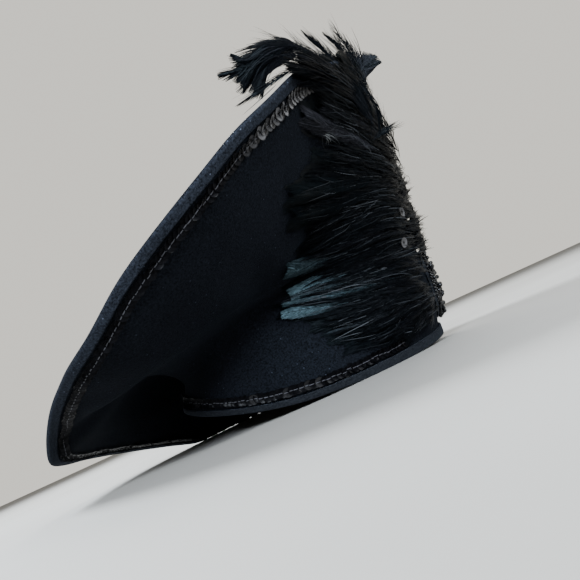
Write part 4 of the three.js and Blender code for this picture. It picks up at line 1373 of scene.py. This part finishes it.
def make_drop_sequins():
    chance = random.Random(51)
    for name, azimuth, distance, lift in DROP_SEQUINS:
        bundle = Bundle()
        centre, normal = on_felt(azimuth, distance, lift + DROP_SEQUIN_CLEAR)
        forward = unit(np.cross(normal, (0, 0, 1)))
        add_sequin(
            bundle, chance, centre, forward, normal, SEQUIN_RADIUS, 0, DROP_SEQUIN_FOLD, DROP_SEQUIN_REFLECTION)
        bundle.piece(name + "_cup", SEQUIN_LOOK, "sequins", [name])


# Floor, light and camera

FLOOR_RADIUS = 6.0
FLOOR_SIDES = 96
FLOOR_DARK = (0.25, 0.24, 0.22)
FLOOR_PALE = (0.28, 0.27, 0.25)

# The studio is brighter behind the hat than behind the camera
WORLD_FRONT = (0.14, 0.14, 0.145)
WORLD_BACK = (0.93, 0.90, 0.82)

# Name, place, size, power and colour of each light. All look at one point
LIGHTS = [
    ("edge_left", (-0.9, 0.8, 1.4), 0.8, 110, (0.84, 0.92, 1.0)),
    ("key_front", (-0.3, -1.8, 0.95), 0.8, 115, (0.80, 0.89, 1.0)),
    ("key_right", (1.4, -1.2, 0.8), 0.7, 46, (0.88, 0.94, 1.0)),
    ("top_back", (0.4, 0.9, 1.4), 0.9, 30, (0.96, 0.98, 1.0)),
]
LIGHT_TARGET = Vector((0.0, 0.0, 0.11))


def make_floor():
    material, tree, place = new_material("floor_look")
    colour = ramp_node(tree, noise_node(tree, place, 3.0, 3.0, 0.55), 0.3, FLOOR_DARK, 0.7, FLOOR_PALE)
    set_shader(tree, {"Base Color": colour, "Roughness": 0.75})
    mesh = bpy.data.meshes.new("floor")
    cosines, sines = circle(FLOOR_SIDES)
    ring = FLOOR_RADIUS * np.stack([cosines, sines, 0 * sines], axis=-1)
    mesh.from_pydata(ring.tolist(), [], [tuple(range(FLOOR_SIDES))])
    mesh.materials.append(material)
    floor = add_object("floor", mesh)


def make_world():
    world = bpy.data.worlds.new("studio")
    world.use_nodes = True
    tree = world.node_tree
    directions = tree.nodes.new("ShaderNodeTexCoord").outputs["Generated"]
    depth = add_node(tree, "SeparateXYZ", {"Vector": directions}).outputs["Y"]
    sky = ramp_node(tree, depth, 0.0, WORLD_FRONT, 0.6, WORLD_BACK, "EASE")
    set_inputs(tree, tree.nodes["Background"].inputs, {"Color": sky, "Strength": 1.0})
    bpy.context.scene.world = world


def make_lights():
    for name, place, size, power, colour in LIGHTS:
        data = bpy.data.lights.new(name, "AREA")
        data.shape = "DISK"
        data.size = size
        data.energy = power
        data.color = colour
        light = add_object(name, data)
        light.location = place
        light.rotation_euler = (LIGHT_TARGET - Vector(place)).to_track_quat("-Z", "Y").to_euler()


def make_camera():
    data = bpy.data.cameras.new("camera")
    data.sensor_width = SENSOR_MM
    data.lens = SENSOR_MM * FOCAL_PIXELS / PICTURE_WIDTH
    data.clip_start = 0.01
    camera = add_object("camera", data)
    axes = [(TO_ROW @ Vector(axis)).normalized() for axis in (EYE_RIGHT, EYE_UP, (0, -1, 0))]
    camera.matrix_world = Matrix.Translation(to_row([EYE])[0]) @ Matrix(axes).transposed().to_4x4()
    bpy.context.scene.camera = camera


make_camera()
make_floor()
make_world()
make_lights()
make_brim()
make_crown()
make_rim_binding()
make_sequin_rows()
make_bead_motif()
make_side_plumage()
make_left_plumage()
make_top_plume()
make_drop_sequins()
